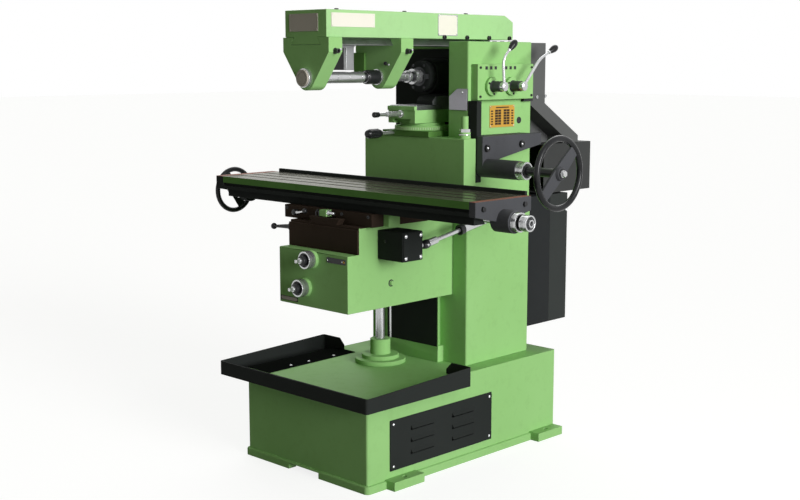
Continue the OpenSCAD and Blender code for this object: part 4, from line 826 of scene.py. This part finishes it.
def socket_head(bm, seat, axis, radius, height, index=0):
    """A round head with a hexagon socket sunk into it."""
    part = capped_prism(24, radius, height)
    soften(part, list(top_face(part).edges), min(radius, height) * 0.16)
    top = top_face(part)
    bmesh.ops.inset_individual(part, faces=[top], thickness=radius * 0.25)
    flat = radius * 0.5
    for corner in top.verts:
        angle = math.atan2(corner.co.y, corner.co.x)
        size = flat / math.cos(angle % (math.pi / 3) - math.pi / 6)
        corner.co.x = math.cos(angle) * size
        corner.co.y = math.sin(angle) * size
    sunk = bmesh.ops.extrude_discrete_faces(part, faces=[top])["faces"][0]
    bmesh.ops.translate(part, vec=(0.0, 0.0, -height * 0.55), verts=sunk.verts)
    stand(part, seat, axis, height / 2)
    join(bm, part, index)


def dome_head(bm, seat, axis, radius, height, index=0):
    """A low dome with a small driver hole in its middle."""
    outline = [(0, 0), (0, radius), (height * 0.45, radius), (height * 0.85, radius * 0.62),
               (height, radius * 0.3), (height * 0.5, radius * 0.26), (height * 0.45, 0)]
    turned(bm, outline, seat, axis, index, height * 0.12, 24, False)


def heads(bm, head, xs, ys, zs, *form):
    """The same screw head at every crossing of the given places."""
    for x in xs:
        for y in ys:
            for z in zs:
                head(bm, (x, y, z), *form)


print("screw helpers ready")


# %% Marks and plates
def ticks(bm, centre, axis, radius, start, length, count, index=0, width=0.9):
    """Scale marks round a drum: one thin bar copied round the axis."""
    part = bmesh.new()
    along, side = way_and_side(axis)
    bmesh.ops.create_cube(part, size=1.0)
    middle = Vector(centre) + along * (start + length / 2) + side * radius
    shape = Matrix((along * length, side * 0.5, along.cross(side) * width)).transposed().to_4x4()
    bmesh.ops.transform(part, matrix=Matrix.Translation(middle) @ shape, verts=part.verts)
    bmesh.ops.spin(part, geom=part.verts[:] + part.edges[:] + part.faces[:], cent=centre, axis=along,
                   angle=math.tau * (count - 1) / count, steps=count - 1, use_duplicate=True)
    join(bm, part, index)


def bare_plate(bm, low, high, axis, rim, rim_index, field_index):
    """A sheet plate with a raised rim, a sunk field and a rivet in each corner."""
    sunk = 0.6
    part = cuboid(low, high)
    out = Vector(axis)
    part.normal_update()
    field = max(part.faces, key=lambda face: face.normal.dot(out))
    soften(part, list(field.edges), 0.5)
    field = max(part.faces, key=lambda face: face.normal.dot(out) * face.calc_area())
    bmesh.ops.inset_individual(part, faces=[field], thickness=rim, depth=-sunk)
    for face in part.faces:
        face.material_index = rim_index
    field.material_index = field_index
    pour(bm, part)
    size = Vector(high) - Vector(low)
    flat = [i for i in range(3) if abs(out[i]) < 0.5]
    for first in (-1, 1):
        for second in (-1, 1):
            seat = (Vector(low) + Vector(high)) / 2 + out * abs(size.dot(out)) / 2
            seat[flat[0]] += first * (size[flat[0]] / 2 - rim * 1.6)
            seat[flat[1]] += second * (size[flat[1]] / 2 - rim * 1.6)
            dome_head(bm, seat - out * sunk, axis, 2.2, 1.8, rim_index)


print("plate helpers ready")

# %% [markdown]
# ## Overarm and arbor supports
# Each support is clamped to the overarm's dovetail by a black socket screw at its right
# shoulder, with a small bright pin behind it. The solid has a plain stub there, so the
# copy is cut flat with a bisecting plane and the hole is filled before the screw goes on.
# The bore is opened to the width of the collars, so that a support can be slid over them.

# %% Supports
BORE = 19.6
SHOULDER_X = 110.0
CLAMP_Z = 1402.0
SPINDLE = (0, 0, SPINDLE_Z)


def dress_support(node, y):
    """A support with an opened bore, and its clamp screw at y."""
    bm = merged_copy(node)
    for vert in bm.verts:
        out = Vector((vert.co.x, 0.0, vert.co.z - SPINDLE_Z))
        if out.length < BORE:
            vert.co += out.normalized() * (BORE - out.length)
    bmesh.ops.bisect_plane(bm, geom=bm.verts[:] + bm.edges[:] + bm.faces[:], dist=0.001,
                           plane_co=(SHOULDER_X + 0.05, 0.0, 0.0), plane_no=RIGHT, clear_outer=True)
    bmesh.ops.holes_fill(bm, edges=bm.edges, sides=0)
    flatten(bm)
    bmesh.ops.recalc_face_normals(bm, faces=bm.faces)
    soften(bm, sharp_edges(bm), 2.5, 2, True)
    rod(bm, -6, 2, 10, (SHOULDER_X, y, CLAMP_Z), RIGHT, 1, 0.8, 24)
    socket_head(bm, (SHOULDER_X + 2, y, CLAMP_Z), RIGHT, 8, 14, 1)
    lathe(bm, [(0, 4.5), (9, 4.5), (11, 3)], (SHOULDER_X - 6, y + 22, CLAMP_Z + 5), RIGHT, 2, 0.6, 20)
    return bm


bm = dress_support("support_front", -470.0)
turned(bm, [(497, 26), (497, 31), (510, 31), (511, 30), (511, 26)], SPINDLE, FRONT, 2, 0.5, 56)
ring(bm, 497, 517, BORE, 27.5, SPINDLE, FRONT, 3, 0.8, 56)
place_piece(bm, "support_front_dressed", "front_support",
            "green_enamel black_oxide bright_steel grey_plate", ["support_front"])
bm = dress_support("support_rear", -143.0)
socket_head(bm, (38, -172, 1362), FRONT, 6, 6, 1)
dome_head(bm, (52, -172, 1358), FRONT, 4, 4, 2)
# A slab widens the rear support's face on the left; its deep green is painted shade.
slab(bm, [(-112, -180, 1398), (-112, -180, 1334), (-60, -180, 1310), (-60, -180, 1398)],
     (0, 8.5, 0), 1.5, 3)
place_piece(bm, "support_rear_dressed", "rear_support",
            "green_enamel black_oxide bright_steel deep_green_enamel", ["support_rear"])

# %% [markdown]
# The overarm carries three plates that are left bare here, black socket screws along its
# lower right edge, and a short steel stay that hangs from the dovetail.

# %% Overarm fittings
bm = bmesh.new()
bare_plate(bm, (-77, -500, 1464), (61, -497.5, 1520), FRONT, 3, 1, 1)
bare_plate(bm, (99.5, -478, 1478), (102, -286, 1522), RIGHT, 3, 2, 2)
bare_plate(bm, (99.5, 18, 1456), (102, 118, 1528), RIGHT, 3, 0, 2)
heads(bm, socket_head, [99.8], [49, 167, 286, 400], [1451], RIGHT, 7.5, 8, 3)
heads(bm, socket_head, [84], [-440, -130, 180], [1531.6], UP, 7, 4.5, 3)
slab(bm, [(-6, -326, 1340), (-6, -290, 1340), (-6, -290, 1413), (-6, -282, 1421.5), (-6, -344, 1421.5),
          (-6, -344, 1413), (-6, -326, 1413)], (12, 0, 0), 1.5, 4)
block(bm, (-98, -320, 1340), (-5, -312, 1421.5), 1.5, 3)
place_piece(bm, "overarm_fittings", "overarm_body",
            "bright_steel grey_plate cream_plate black_oxide ground_steel")

# %% [markdown]
# ## Arbor and spindle nose
# The arbor is a ground bar with loose collars that space the cutters. Every collar is a
# ring of its own on the real arbor, so each one is spun as its own hollow outline.

# %% Arbor
bm = bmesh.new()
rod(bm, -508, 367, 13.4, SPINDLE, BACK, 0, 1)
rod(bm, -517, -498, 19, SPINDLE, BACK, 3, 0.8, 56)
for start, end, radius, index in (
        (-497.4, -437, 19, 0), (-436, -424, 17, 1), (-424, -372, 19, 0), (-371.4, -319, 19, 0),
        (-318.4, -264, 19, 0), (-263.4, -250, 19.2, 0), (-249.4, -236, 17, 2), (-235, -173, 19, 0),
        (-172.4, -111, 19, 0), (-110, -58, 16.5, 0), (-57.4, -34, 16.5, 0), (-33.4, -22, 21, 0),
        (-21.4, -8, 17, 2), (-7.4, 9, 27, 0), (9.4, 29, 24, 0)):
    ring(bm, start, end, 12.5, radius, SPINDLE, BACK, index, 0.9)
place_piece(bm, "arbor_and_collars", "spindle_body",
            "bright_steel black_oxide dark_iron grey_plate", ["arbor"])

# %% Spindle nose and bush
bm = bmesh.new()
turned(bm, [(29, 13.6), (29, 45), (33, 54), (61, 54), (61, 32), (451, 32), (451, 13.6)],
       SPINDLE, BACK, 0, 1.2, 64)
ring(bm, 28, 30, 24.5, 33, SPINDLE, BACK, 1, 0.5, 64)
for side in (-1, 1):
    block(bm, (side * 40 - 8, 21, SPINDLE_Z - 8), (side * 40 + 8, 31, SPINDLE_Z + 8), 1.2, 1)
    heads(bm, socket_head, [side * 26], [29], [SPINDLE_Z - 38, SPINDLE_Z + 38], FRONT, 4.5, 3, 1)
place_piece(bm, "spindle_nose", "spindle_body", "black_satin dark_iron", ["spindle"])
bm = bmesh.new()
turned(bm, [(-234, BORE), (-234, 22), (-228, 24), (-181, 24), (-181, BORE)], SPINDLE, BACK, 0, 0.6, 56)
ring(bm, -180.8, -172, BORE, 27, SPINDLE, BACK, 1, 0.8, 56)
place_piece(bm, "rear_bush_ringed", "rear_support", "black_oxide bright_steel", ["rear_bush"])

# %% [markdown]
# ## Gear panel and speed levers
# Two bent steel levers with black oval knobs choose the speed. Each turns on a stepped
# hub whose flange is held by three black screws. The lever is one bent bar with its
# elbow eased, and the knob is an outline spun along the lever's last leg.

# %% Lever hubs
COLUMN_X = 233.8
PANEL_X = 263.8
HUB_Z = 1284
FRONT_HUB_Y = 109
REAR_HUB_Y = 213
bm = bmesh.new()
for hub_y in (FRONT_HUB_Y, REAR_HUB_Y):
    hub = (0, hub_y, HUB_Z)
    rod(bm, 263.5, 276, 32, hub, RIGHT, 0, 2.5)
    lathe(bm, [(276, 21), (281, 18), (314, 18)], hub, RIGHT, 1, 1.2)
    for angle in (0.6, 2.7, 4.8):
        seat = (276, hub_y + 26 * math.cos(angle), HUB_Z + 26 * math.sin(angle))
        socket_head(bm, seat, RIGHT, 3.6, 3.6, 2)
    for shift in (-24, 0, 24):
        block(bm, (PANEL_X, hub_y + shift - 6, 1341), (PANEL_X + 1, hub_y + shift + 6, 1352), 0.3, 2)
place_piece(bm, "lever_hubs_turned", "frame", "green_enamel dark_iron black_oxide",
            ["lever_hubs"])


# %% Speed levers
def speed_lever(hub_y, bend, tip):
    """A lever from its hub over an elbow to its knob."""
    bm = bmesh.new()
    lathe(bm, [(314.2, 16), (329, 16), (333, 9)], (0, hub_y, HUB_Z), RIGHT, 0, 1.6)
    start = Vector((323.1, hub_y, HUB_Z))
    elbow = start + Vector((0, *bend))
    knob = start + Vector((0, *tip))
    along = (knob - elbow).normalized()
    bent_bar(bm, eased([start, elbow, knob], 26, 8), 5.4, 4, 0)
    lathe(bm, [(-16, 5.6), (-9, 6.6)], knob, along, 0, 0.8, 28)
    turned(bm, [(-9, 0), (-9, 7), (2, 10), (14, 12.6), (26, 12), (35, 7.5), (38, 0)],
           knob, along, 1, 3.4, 36, False)
    return bm


for end, hub_y, bend, tip in (
        ("front", FRONT_HUB_Y, (-8, 93), (33, 130)),
        ("rear", REAR_HUB_Y, (86, 92), (150, 121))):
    place_piece(speed_lever(hub_y, bend, tip), f"speed_lever_{end}_bent", f"{end}_lever",
                "bright_steel gloss_black", [f"speed_lever_{end}"])

# %% [markdown]
# ## Speed chart
# A small orange plate under the levers lists the speeds. It is shown as two dark tables
# with empty rows, because nothing on it has to be read. A grid is inset face by face:
# the cells become the ink, and the thin frame that is left round them stays orange.

# %% Speed chart
CHART_X = 236.0


def chart_table(bm, y0, y1, z0, z1, columns, rows):
    """A table of inked cells on the plate's face."""
    part = bmesh.new()
    bmesh.ops.create_grid(part, x_segments=columns, y_segments=rows, size=0.5)
    shape = Matrix(((0, 0, 1), (y1 - y0, 0, 0), (0, z1 - z0, 0))).to_4x4()
    middle = Vector((CHART_X + 0.35, (y0 + y1) / 2, (z0 + z1) / 2))
    bmesh.ops.transform(part, matrix=Matrix.Translation(middle) @ shape, verts=part.verts)
    cells = part.faces[:]
    rims = bmesh.ops.inset_individual(part, faces=cells, thickness=1.1)["faces"]
    for cell in cells:
        cell.material_index = 1
    for face in rims:
        face.material_index = 0
    bmesh.ops.recalc_face_normals(part, faces=part.faces)
    if part.faces[0].normal.x < 0.0:
        bmesh.ops.reverse_faces(part, faces=part.faces)
    pour(bm, part)


bm = bmesh.new()
block(bm, (COLUMN_X, 138, 1141), (CHART_X + 0.2, 272, 1217), 0.8, 0)
chart_table(bm, 165, 199, 1149, 1203, 2, 6)
chart_table(bm, 211, 245, 1149, 1203, 2, 6)
for low in range(1150, 1204, 9):
    for y in (144, 254):
        block(bm, (CHART_X, y, low), (CHART_X + 0.5, y + 11, low + 5), 0.2, 1)
block(bm, (CHART_X, 170, 1207.5), (CHART_X + 0.5, 240, 1211.5), 0.2, 1)
heads(bm, dome_head, [CHART_X + 0.1], [142.5, 267.5], [1145.5, 1212.5], RIGHT, 2.4, 1.6, 2)
place_piece(bm, "speed_chart", "frame", "chart_orange chart_ink bright_steel",
            ["speed_plate"])

# %% [markdown]
# ## Screws on the frame
# Bright domes hold the vent panel, black socket screws hold the gear panel, the guard
# and the side bracket, and low screws clamp the overarm. A black sheet behind the
# louvres is painted shade for the dark inside of the base, another black sheet lies on
# the left of the tray's deck, a green step fills the deck's back, and a zinc sheet hangs
# beside the spindle. They all stay on the frame.

# %% Frame screws
DECK_Z = 312.8
POST = (247, -4.5)
bm = bmesh.new()
heads(bm, dome_head, [303.8], [-406, 71], [66, 208], RIGHT, 5, 4, 0)
# A black sheet inside the base, behind the louvres: painted shade for the dark inside.
block(bm, (268, -425, 45), (271, 90, 230), 0.5, 2)
heads(bm, socket_head, [PANEL_X], [53, 329], [1250, 1348], RIGHT, 4.4, 4, 1)
for y, z in ((46, 1078), (231, 1084)):
    socket_head(bm, (300.8, y, z), RIGHT, 12, 10, 1)
    dome_head(bm, (308, y, z), RIGHT, 4.5, 2.2, 0)
heads(bm, socket_head, [167], [197.4, 239.8, 282.2, 324.6], [1435.8], UP, 8, 3, 1)
for y, z in ((409, 1241), (459, 1244)):
    socket_head(bm, (224.8, y, z), RIGHT, 6, 5, 0)
heads(bm, dome_head, [-204], [-403, -320, -200], [315], UP, 5, 3.5, 0)
slab(bm, [(-299, -519, DECK_Z), (-180, -519, DECK_Z), (-194, -102, DECK_Z), (-299, -102, DECK_Z)],
     (0, 0, 2.6), 0.6, 2)
block(bm, (-118, -4.5, DECK_Z), (127, 26.5, 371), 2, 3)
slab(bm, [(151, 26.2, 1204), (233, 26.2, 1204), (233, 26.2, 1277), (188, 26.2, 1277), (151, 26.2, 1250)],
     (0, -5, 0), 0.8, 4)
dome_head(bm, (212, 21.4, 1264), FRONT, 5, 4, 0)
rod(bm, 1109, 1122, 15.5, (*POST, 0), UP, 1, 1.2, 40)
hex_head(bm, (*POST, 1122), UP, 32, 18, 0)
lathe(bm, [(-1, 12), (1.5, 12), (1.5, 7), (0.3, 6)], (234, 299, 1162), RIGHT, 1, 0.5, 32)
slab(bm, [(COLUMN_X, 307, 1228), (COLUMN_X, 361, 1228), (COLUMN_X, 361, 1244), (COLUMN_X, 315, 1244)],
     (14, 0, 0), 1.5, 1)
place_piece(bm, "frame_fasteners", "frame",
            "bright_steel black_oxide sheet_black green_enamel zinc_sheet", ["frame_screws"])

# %% [markdown]
# ## Handwheels
# Both handwheels are cast iron painted black: a round rim, a hub and one broad flat
# spoke that runs right across. The rear wheel's spoke is rubbed to grey and a bright nut
# on a dark washer holds it. The rim is a spun circle and the spoke a bevelled slab.

# %% Handwheels
SPOKE_SHAPE = ((-1, -0.4), (-0.3, -0.5), (0.3, -0.5), (1, -0.4),
               (1, 0.4), (0.3, 0.5), (-0.3, 0.5), (-1, 0.4))
SPOKE_T = 10


def handwheel(bm, centre, wheel_r, rim_r, hub_r, hub_len, lean, spoke_w, bore):
    """A rim, a hub and one spoke that leans by an angle in degrees."""
    centre = Vector(centre)
    reach = wheel_r - rim_r
    hoop(bm, centre, RIGHT, reach, rim_r, 0)
    half = hub_len / 2
    hub = [(-half, bore), (-half, hub_r * 0.8), (-half * 0.4, hub_r), (half * 0.4, hub_r),
           (half, hub_r * 0.84), (half, bore)]
    turned(bm, hub, centre, RIGHT, 1, 1.6)
    lean = math.radians(lean)
    along = Vector((0, -math.sin(lean), math.cos(lean)))
    across = Vector((0, math.cos(lean), math.sin(lean)))
    inner = centre - Vector((SPOKE_T / 2, 0, 0))
    outline = [inner + along * (far * reach) + across * (wide * spoke_w) for far, wide in SPOKE_SHAPE]
    slab(bm, outline, (SPOKE_T, 0, 0), 2.6, 1)


LEAD = (0, LEAD_Y, 890)
REAR = (0, 55, 1010)
bm = bmesh.new()
handwheel(bm, (-678, *LEAD[1:]), 86, 9, 22, 34, 30, 36, 13)
place_piece(bm, "left_handwheel_cast", "table_screw", "gloss_black black_satin",
            ["left_handwheel"])
bm = bmesh.new()
handwheel(bm, (600, *REAR[1:]), 124, 10.5, 24, 30, -48, 48, 11)
place_piece(bm, "rear_handwheel_cast", "rear_drive", "gloss_black bracket_grey",
            ["rear_handwheel"])

# %% [markdown]
# ## Screws, shafts and dials
# Each feed screw ends in a bright drum with scale marks. The drums have a recessed
# face with a black floor, painted shade that makes them read as cups from the front.

# %% Lead screw
STEEL_AND_BLACK = "bright_steel black_oxide"


def drum(bm, centre, axis, start, end, radius, bore, marks):
    """A graduated drum from start to end whose end face is a recess with a black floor as painted shade."""
    length = end - start
    floor_at = end - length * 0.28
    cup = [(start, bore), (start, radius), (end, radius), (end, radius * 0.82),
           (floor_at, radius * 0.76), (floor_at, bore)]
    turned(bm, cup, centre, axis, 0, 1.2, 56)
    # A black disc on the recess floor: painted shade inside the cup.
    recess = [(floor_at - 1, bore), (floor_at + 0.6, bore), (floor_at + 0.6, radius * 0.77),
              (floor_at - 1, radius * 0.77)]
    turned(bm, recess, centre, axis, 1)
    ticks(bm, centre, axis, radius, start + length * 0.2, length * 0.42, marks, 1)


bm = bmesh.new()
lathe(bm, [(-707, 10), (-696, 12.9), (716, 12.9)], LEAD, RIGHT)
drum(bm, LEAD, LEFT, 614.1, 638, 30, 12.6, 50)
hex_head(bm, (-694.8, *LEAD[1:]), LEFT, 24, 9, 0)
place_piece(bm, "lead_screw_and_dial", "table_screw", STEEL_AND_BLACK, ["lead_screw"])

# %% Right dial
bm = bmesh.new()
drum(bm, LEAD, RIGHT, 686.2, 708, 30.5, 12.6, 60)
ring(bm, 702, 717, 12.6, 20, LEAD, RIGHT, 1)
drum(bm, LEAD, RIGHT, 717, 744, 25, 9, 36)
lathe(bm, [(730, 12), (748, 12), (748, 8), (744, 7.5)], LEAD, RIGHT, 0, 0.9, 40)
rod(bm, 742, 744.4, 7.6, LEAD, RIGHT, 1, 0, 32)
place_piece(bm, "right_dial_stack", "table_screw", STEEL_AND_BLACK, ["right_dial"])

# %% Rear screw
bm = bmesh.new()
rod(bm, -148, 614, 10.9, REAR, RIGHT)
drum(bm, REAR, RIGHT, 441.2, 471, 30, 10.6, 50)
ring(bm, 471, 585, 10.6, 15, REAR, RIGHT, 1, 1.2, 40)
rod(bm, 613.8, 617.5, 17, REAR, RIGHT, 1, 0.8, 40)
hex_head(bm, (617.3, *REAR[1:]), RIGHT, 19, 9, 0)
place_piece(bm, "rear_screw_and_dial", "rear_drive", STEEL_AND_BLACK, ["rear_screw"])

# %% [markdown]
# ## Knee fittings
# The two front spindles lift the knee and move the saddle. Each shows a bright drum, a
# recess darkened with painted shade and a square end for a loose crank. Behind the front
# wall a plain shaft runs on to its gear or nut, so the piece stands for the whole solid.


# %% Knee cranks
def knee_crank(x, z, shaft_end):
    """A drum with a square end in front, and its shaft behind."""
    bm = bmesh.new()
    centre = (x, 0, z)
    drum(bm, centre, FRONT, 490.2, 517, 29, 12.6, 48)
    lathe(bm, [(508, 17), (528, 17), (531, 13)], centre, FRONT, 1, 1.2, 40)
    rod(bm, 529, 537, 9.5, centre, FRONT, 0, 1, 40)
    block(bm, (x - 5.5, -552, z - 5.5), (x + 5.5, -536, z + 5.5), 1.4, 0)
    rod(bm, -509, shaft_end, 12.9, centre, BACK, 0, 0.8, 40)
    return bm


bm = knee_crank(-35, 626, -179)
lathe(bm, [(-179, 24), (-165, 24), (-151, 14.5)], (-35, 0, 626), BACK, 0, 0.8, 40)
place_piece(bm, "vertical_crank_turned", "vertical_handle", STEEL_AND_BLACK, ["vertical_crank"])
bm = knee_crank(0, 724, -59)
rod(bm, -59, -36, 8.9, (0, 0, 724), BACK, 0, 0.8, 40)
place_piece(bm, "cross_crank_turned", "cross_handle", STEEL_AND_BLACK, ["cross_crank"])

# %% [markdown]
# The knee's small parts are the gearbox's lid, an oil plug, a grease plate with a bare
# plate below it, and a thin rod that hangs down beside the lift screw.

# %% Knee trim
bm = bmesh.new()
block(bm, (283.8, -340, 731), (287, -253, 821), 1, 2)
heads(bm, dome_head, [286.8], [-331, -262], [740, 812], RIGHT, 6.5, 4, 0)
socket_head(bm, (205, -343, 790), FRONT, 5, 3, 1)
rod(bm, -1, 1.6, 12, (169, -281, 640), RIGHT, 1, 0.5, 32)
hex_head(bm, (170.4, -281, 640), RIGHT, 13, 6, 3)
block(bm, (71, -480, 721), (161, -477.8, 739), 0.6, 1)
rod(bm, 0, 1.4, 3.6, (153, -480, 730), FRONT, 4, 0.4, 24)
heads(bm, dome_head, [76, 145], [-479.8], [730], FRONT, 2.2, 1.4, 0)
bare_plate(bm, (-163, -479.5, 569), (-76, -477.8, 584), FRONT, 1.6, 2, 5)
bent_bar(bm, [(54, -168, 566), (54, -168, 500), (54, -168, 420)], 3.2, 3.2, 0, 12)
place_piece(bm, "knee_fittings", "knee_body",
            "bright_steel black_oxide black_satin green_enamel chart_orange grey_plate", ["knee_trim"])

# %% Clamp lever and saddle lever
bm = bmesh.new()
lathe(bm, [(393.2, 14), (413, 14), (417, 9)], (-186, 0, 808), FRONT, 0, 1.6, 40)
bent_bar(bm, [(-186, -405, 808), (-230, -405, 805), (-276, -405, 801.5)], 9, 4.6, 0)
ball(bm, (-282, -405, 801), 11, 0)
place_piece(bm, "knee_clamp_lever_turned", "clamp_lever", "gloss_black", ["knee_clamp_lever"])
bm = bmesh.new()
lathe(bm, [(399.7, 10), (416, 10), (419.5, 6)], (-165, 0, 860), FRONT, 1, 1.2, 36)
bent_bar(bm, eased([(-165, -409, 860), (-140, -414, 861), (-103, -419.5, 869.5)], 12), 5.6, 4, 0)
ball(bm, (-103, -419.5, 870), 9, 1)
place_piece(bm, "saddle_lever_turned", "lock_lever", STEEL_AND_BLACK, ["saddle_lever"])

# %% [markdown]
# Oil reaches the saddle's ways through two thin bent pipes beside the green stop block,
# and a bright stop screw stands out of the block's right side.

# %% Saddle fittings
SADDLE_Y = -399.3
bm = bmesh.new()
for x, low in ((-58, 846), (-44, 843)):
    route = eased([(x, -399, 874), (x, -410, 874), (x + 6, -412, low), (x + 16, -399, low)], 7)
    bent_bar(bm, route, 1.6, 1.6, 0, 10)
    hex_head(bm, (x, SADDLE_Y, 874), FRONT, 8, 4, 1)
lathe(bm, [(7, 5), (34, 5), (36, 3.4)], (0, -412, 872), RIGHT, 2, 0.8, 24)
hex_head(bm, (7.8, -412, 872), RIGHT, 15, 6, 2)
heads(bm, socket_head, [-215, 60, 185], [SADDLE_Y], [872], FRONT, 5.5, 4, 1)
place_piece(bm, "saddle_fittings", "saddle_body", "dark_iron black_oxide bright_steel")

# %% [markdown]
# ## Rear slide
# A swivelling slide sits on the rear bed: a graduated round base, a small slide with a
# bright top, a crank with a black grip and a black locking knob with finger flutes.

# %% Rear slide fittings
CRANK = (0, 0, 1188.4)
bm = bmesh.new()
lathe(bm, [(194, 9), (190, 10), (172, 9.4), (168, 7)], CRANK, FRONT, 1, 1.2, 32)
lathe(bm, [(168.5, 6.2), (130, 6.8)], CRANK, FRONT, 0, 0.6, 32)
lathe(bm, [(131, 9.4), (66, 9.8), (66, 13), (58.2, 13)], CRANK, FRONT, 0, 0.8, 32)
rod(bm, -60, 30, 6.9, CRANK, BACK, 0, 0.6, 32)
place_piece(bm, "slide_crank_turned", "slide_handle", "bright_steel gloss_black", ["slide_crank"])

# %% Lock knob
KNOB_X = -58
KNOB_Z = 1120
FLUTES = 8
FLUTE_REACH = 14.2
bm = bmesh.new()
rod(bm, 40.2, 104, 6, (KNOB_X, 0, KNOB_Z), FRONT, 1, 0.8, 28)
lathe(bm, [(100, 10), (112, 15), (162, 15.8), (172, 11)], (KNOB_X, 0, KNOB_Z), FRONT, 0, 3, 40)
for step in range(FLUTES):
    angle = math.tau * step / FLUTES
    centre = (KNOB_X + FLUTE_REACH * math.cos(angle), 0, KNOB_Z + FLUTE_REACH * math.sin(angle))
    rod(bm, 114, 160, 2.6, centre, FRONT, 0, 1, 12)
place_piece(bm, "lock_knob_fluted", "knob_body", "gloss_black bright_steel", ["lock_knob"])

# %% Scale and slide top
bm = bmesh.new()
ticks(bm, (0, 48, 0), UP, 98, 1133, 8, 72, 0, 1.2)
place_piece(bm, "swivel_scale", "swivel_body", "cream_plate")
bm = bmesh.new()
block(bm, (-64, -50, 1201), (65.5, 74, 1218), 1.5, 0)
block(bm, (-66, -62, 1200), (66, -49, 1215), 2, 1)
place_piece(bm, "slide_top", "slide_body", "ground_steel green_enamel")

# %% [markdown]
# ## Feed shaft
# A telescopic shaft with a universal joint at each end carries the feed from the column
# to the gearbox on the knee. The thick sleeve swings at the column, the thin rod at the
# gearbox, and they slide in each other when the knee moves.

# %% Feed shaft
REAR_JOINT = Vector((262, 225, 853))
FRONT_JOINT = Vector((262, -215, 772))
feed_way = (FRONT_JOINT - REAR_JOINT).normalized()


def universal_joint(bm, centre, axis):
    """A dark ball-shaped joint with a bright pin across it."""
    outline = [(-15.4, 5.4), (-10, 12.8), (0, 15.2), (11, 15), (16, 11)]
    lathe(bm, outline, centre, axis, 1, 1.6, 40)
    rod(bm, -17, 17, 4.6, centre, RIGHT, 0, 0.8, 24)


bm = bmesh.new()
universal_joint(bm, REAR_JOINT, feed_way)
ring(bm, 14, 258, 12.2, 16, REAR_JOINT, feed_way, 0, 1)
ring(bm, 258, 277, 12.2, 18.5, REAR_JOINT, feed_way, 1, 1.6)
place_piece(bm, "feed_sleeve_turned", "feed_outer", STEEL_AND_BLACK, ["feed_sleeve"])
bm = bmesh.new()
universal_joint(bm, FRONT_JOINT, -feed_way)
lathe(bm, [(14, 13), (54, 13), (58, 9)], FRONT_JOINT, -feed_way, 0, 1, 40)
rod(bm, 56, 304, 7.4, FRONT_JOINT, -feed_way, 0, 0.8, 32)
place_piece(bm, "feed_rod_turned", "feed_inner", STEEL_AND_BLACK, ["feed_rod"])

# %% [markdown]
# ## Left side and back
# The photograph does not show these sides. They get what such a machine needs: a bolted
# cover over the gears with an oil sight below it, a cover on the base, hinges, a handle
# and a lock on the switch cabinet's door, and louvres on the motor cover.

# %% Left covers
bm = bmesh.new()
block(bm, (-241, 190, 1050), (-COLUMN_X, 350, 1330), 2.5, 0)
heads(bm, socket_head, [-240.8], [204, 336], [1064, 1190, 1316], LEFT, 6, 5, 1)
lathe(bm, [(-1, 24), (5, 24), (8, 20), (8, 15), (5, 14)], (-234, 270, 985), LEFT, 2, 0.8, 40)
block(bm, (-304, -320, 80), (-299.8, 60, 235), 1, 3)
heads(bm, dome_head, [-303.8], [-308, 48], [92, 223], LEFT, 7, 5, 2)
place_piece(bm, "left_covers", "frame", "green_enamel black_oxide bright_steel black_satin")

# %% Cabinet door fittings
bm = bmesh.new()
for z in (470, 790):
    rod(bm, z - 32, z + 32, 6.5, (-150, 505, 0), UP, 1, 1.2, 24)
    block(bm, (-153, 506, z - 28), (-149.5, 536, z + 28), 0.8, 1)
route = eased([(176, 606, 590), (176, 632, 590), (176, 632, 690), (176, 606, 690)], 12)
bent_bar(bm, route, 6, 6, 1, 14)
lathe(bm, [(607.8, 15), (612, 15), (614, 12)], (176, 0, 740), BACK, 1, 0.8, 32)
block(bm, (173.5, 613, 731), (178.5, 617, 749), 0.8, 0)
dome_head(bm, (224.8, 600, 816), RIGHT, 6, 5, 0)
place_piece(bm, "door_fittings", "door", STEEL_AND_BLACK)

# %% Motor cover fittings
COVER_Y = 746.8
bm = bmesh.new()
for z in range(922, 1052, 26):
    slab(bm, [(-20, COVER_Y, z), (-20, 753, z + 1), (-20, 753, z + 3), (-20, COVER_Y, z + 15)],
         (150, 0, 0), 0.8, 0)
heads(bm, dome_head, [-108, 213], [COVER_Y], [898, 1055], BACK, 6, 4, 1)
place_piece(bm, "motor_cover_fittings", "frame", "cover_grey bright_steel")

# %% [markdown]
# ## Solids that keep their shape
# The belts, pulleys, bearings, nuts and the lift screw are right as they are, and mostly
# hidden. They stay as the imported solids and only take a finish.

# %% Plain solids
for node, label in (
        ("elevating_nut", "bronze"), ("saddle_nuts", "bronze"), ("motor", "deep_green_enamel"),
        ("drive_belts", "belt_rubber"), ("spindle_bearings", "ground_steel"),
        ("spindle_pulley", "dark_iron"), ("motor_pulley", "dark_iron"), ("elevating_screw", "bright_steel")):
    solid = nodes[node]
    solid.data.materials.clear()
    solid.data.materials.append(finish[label])
print("plain solids finished")
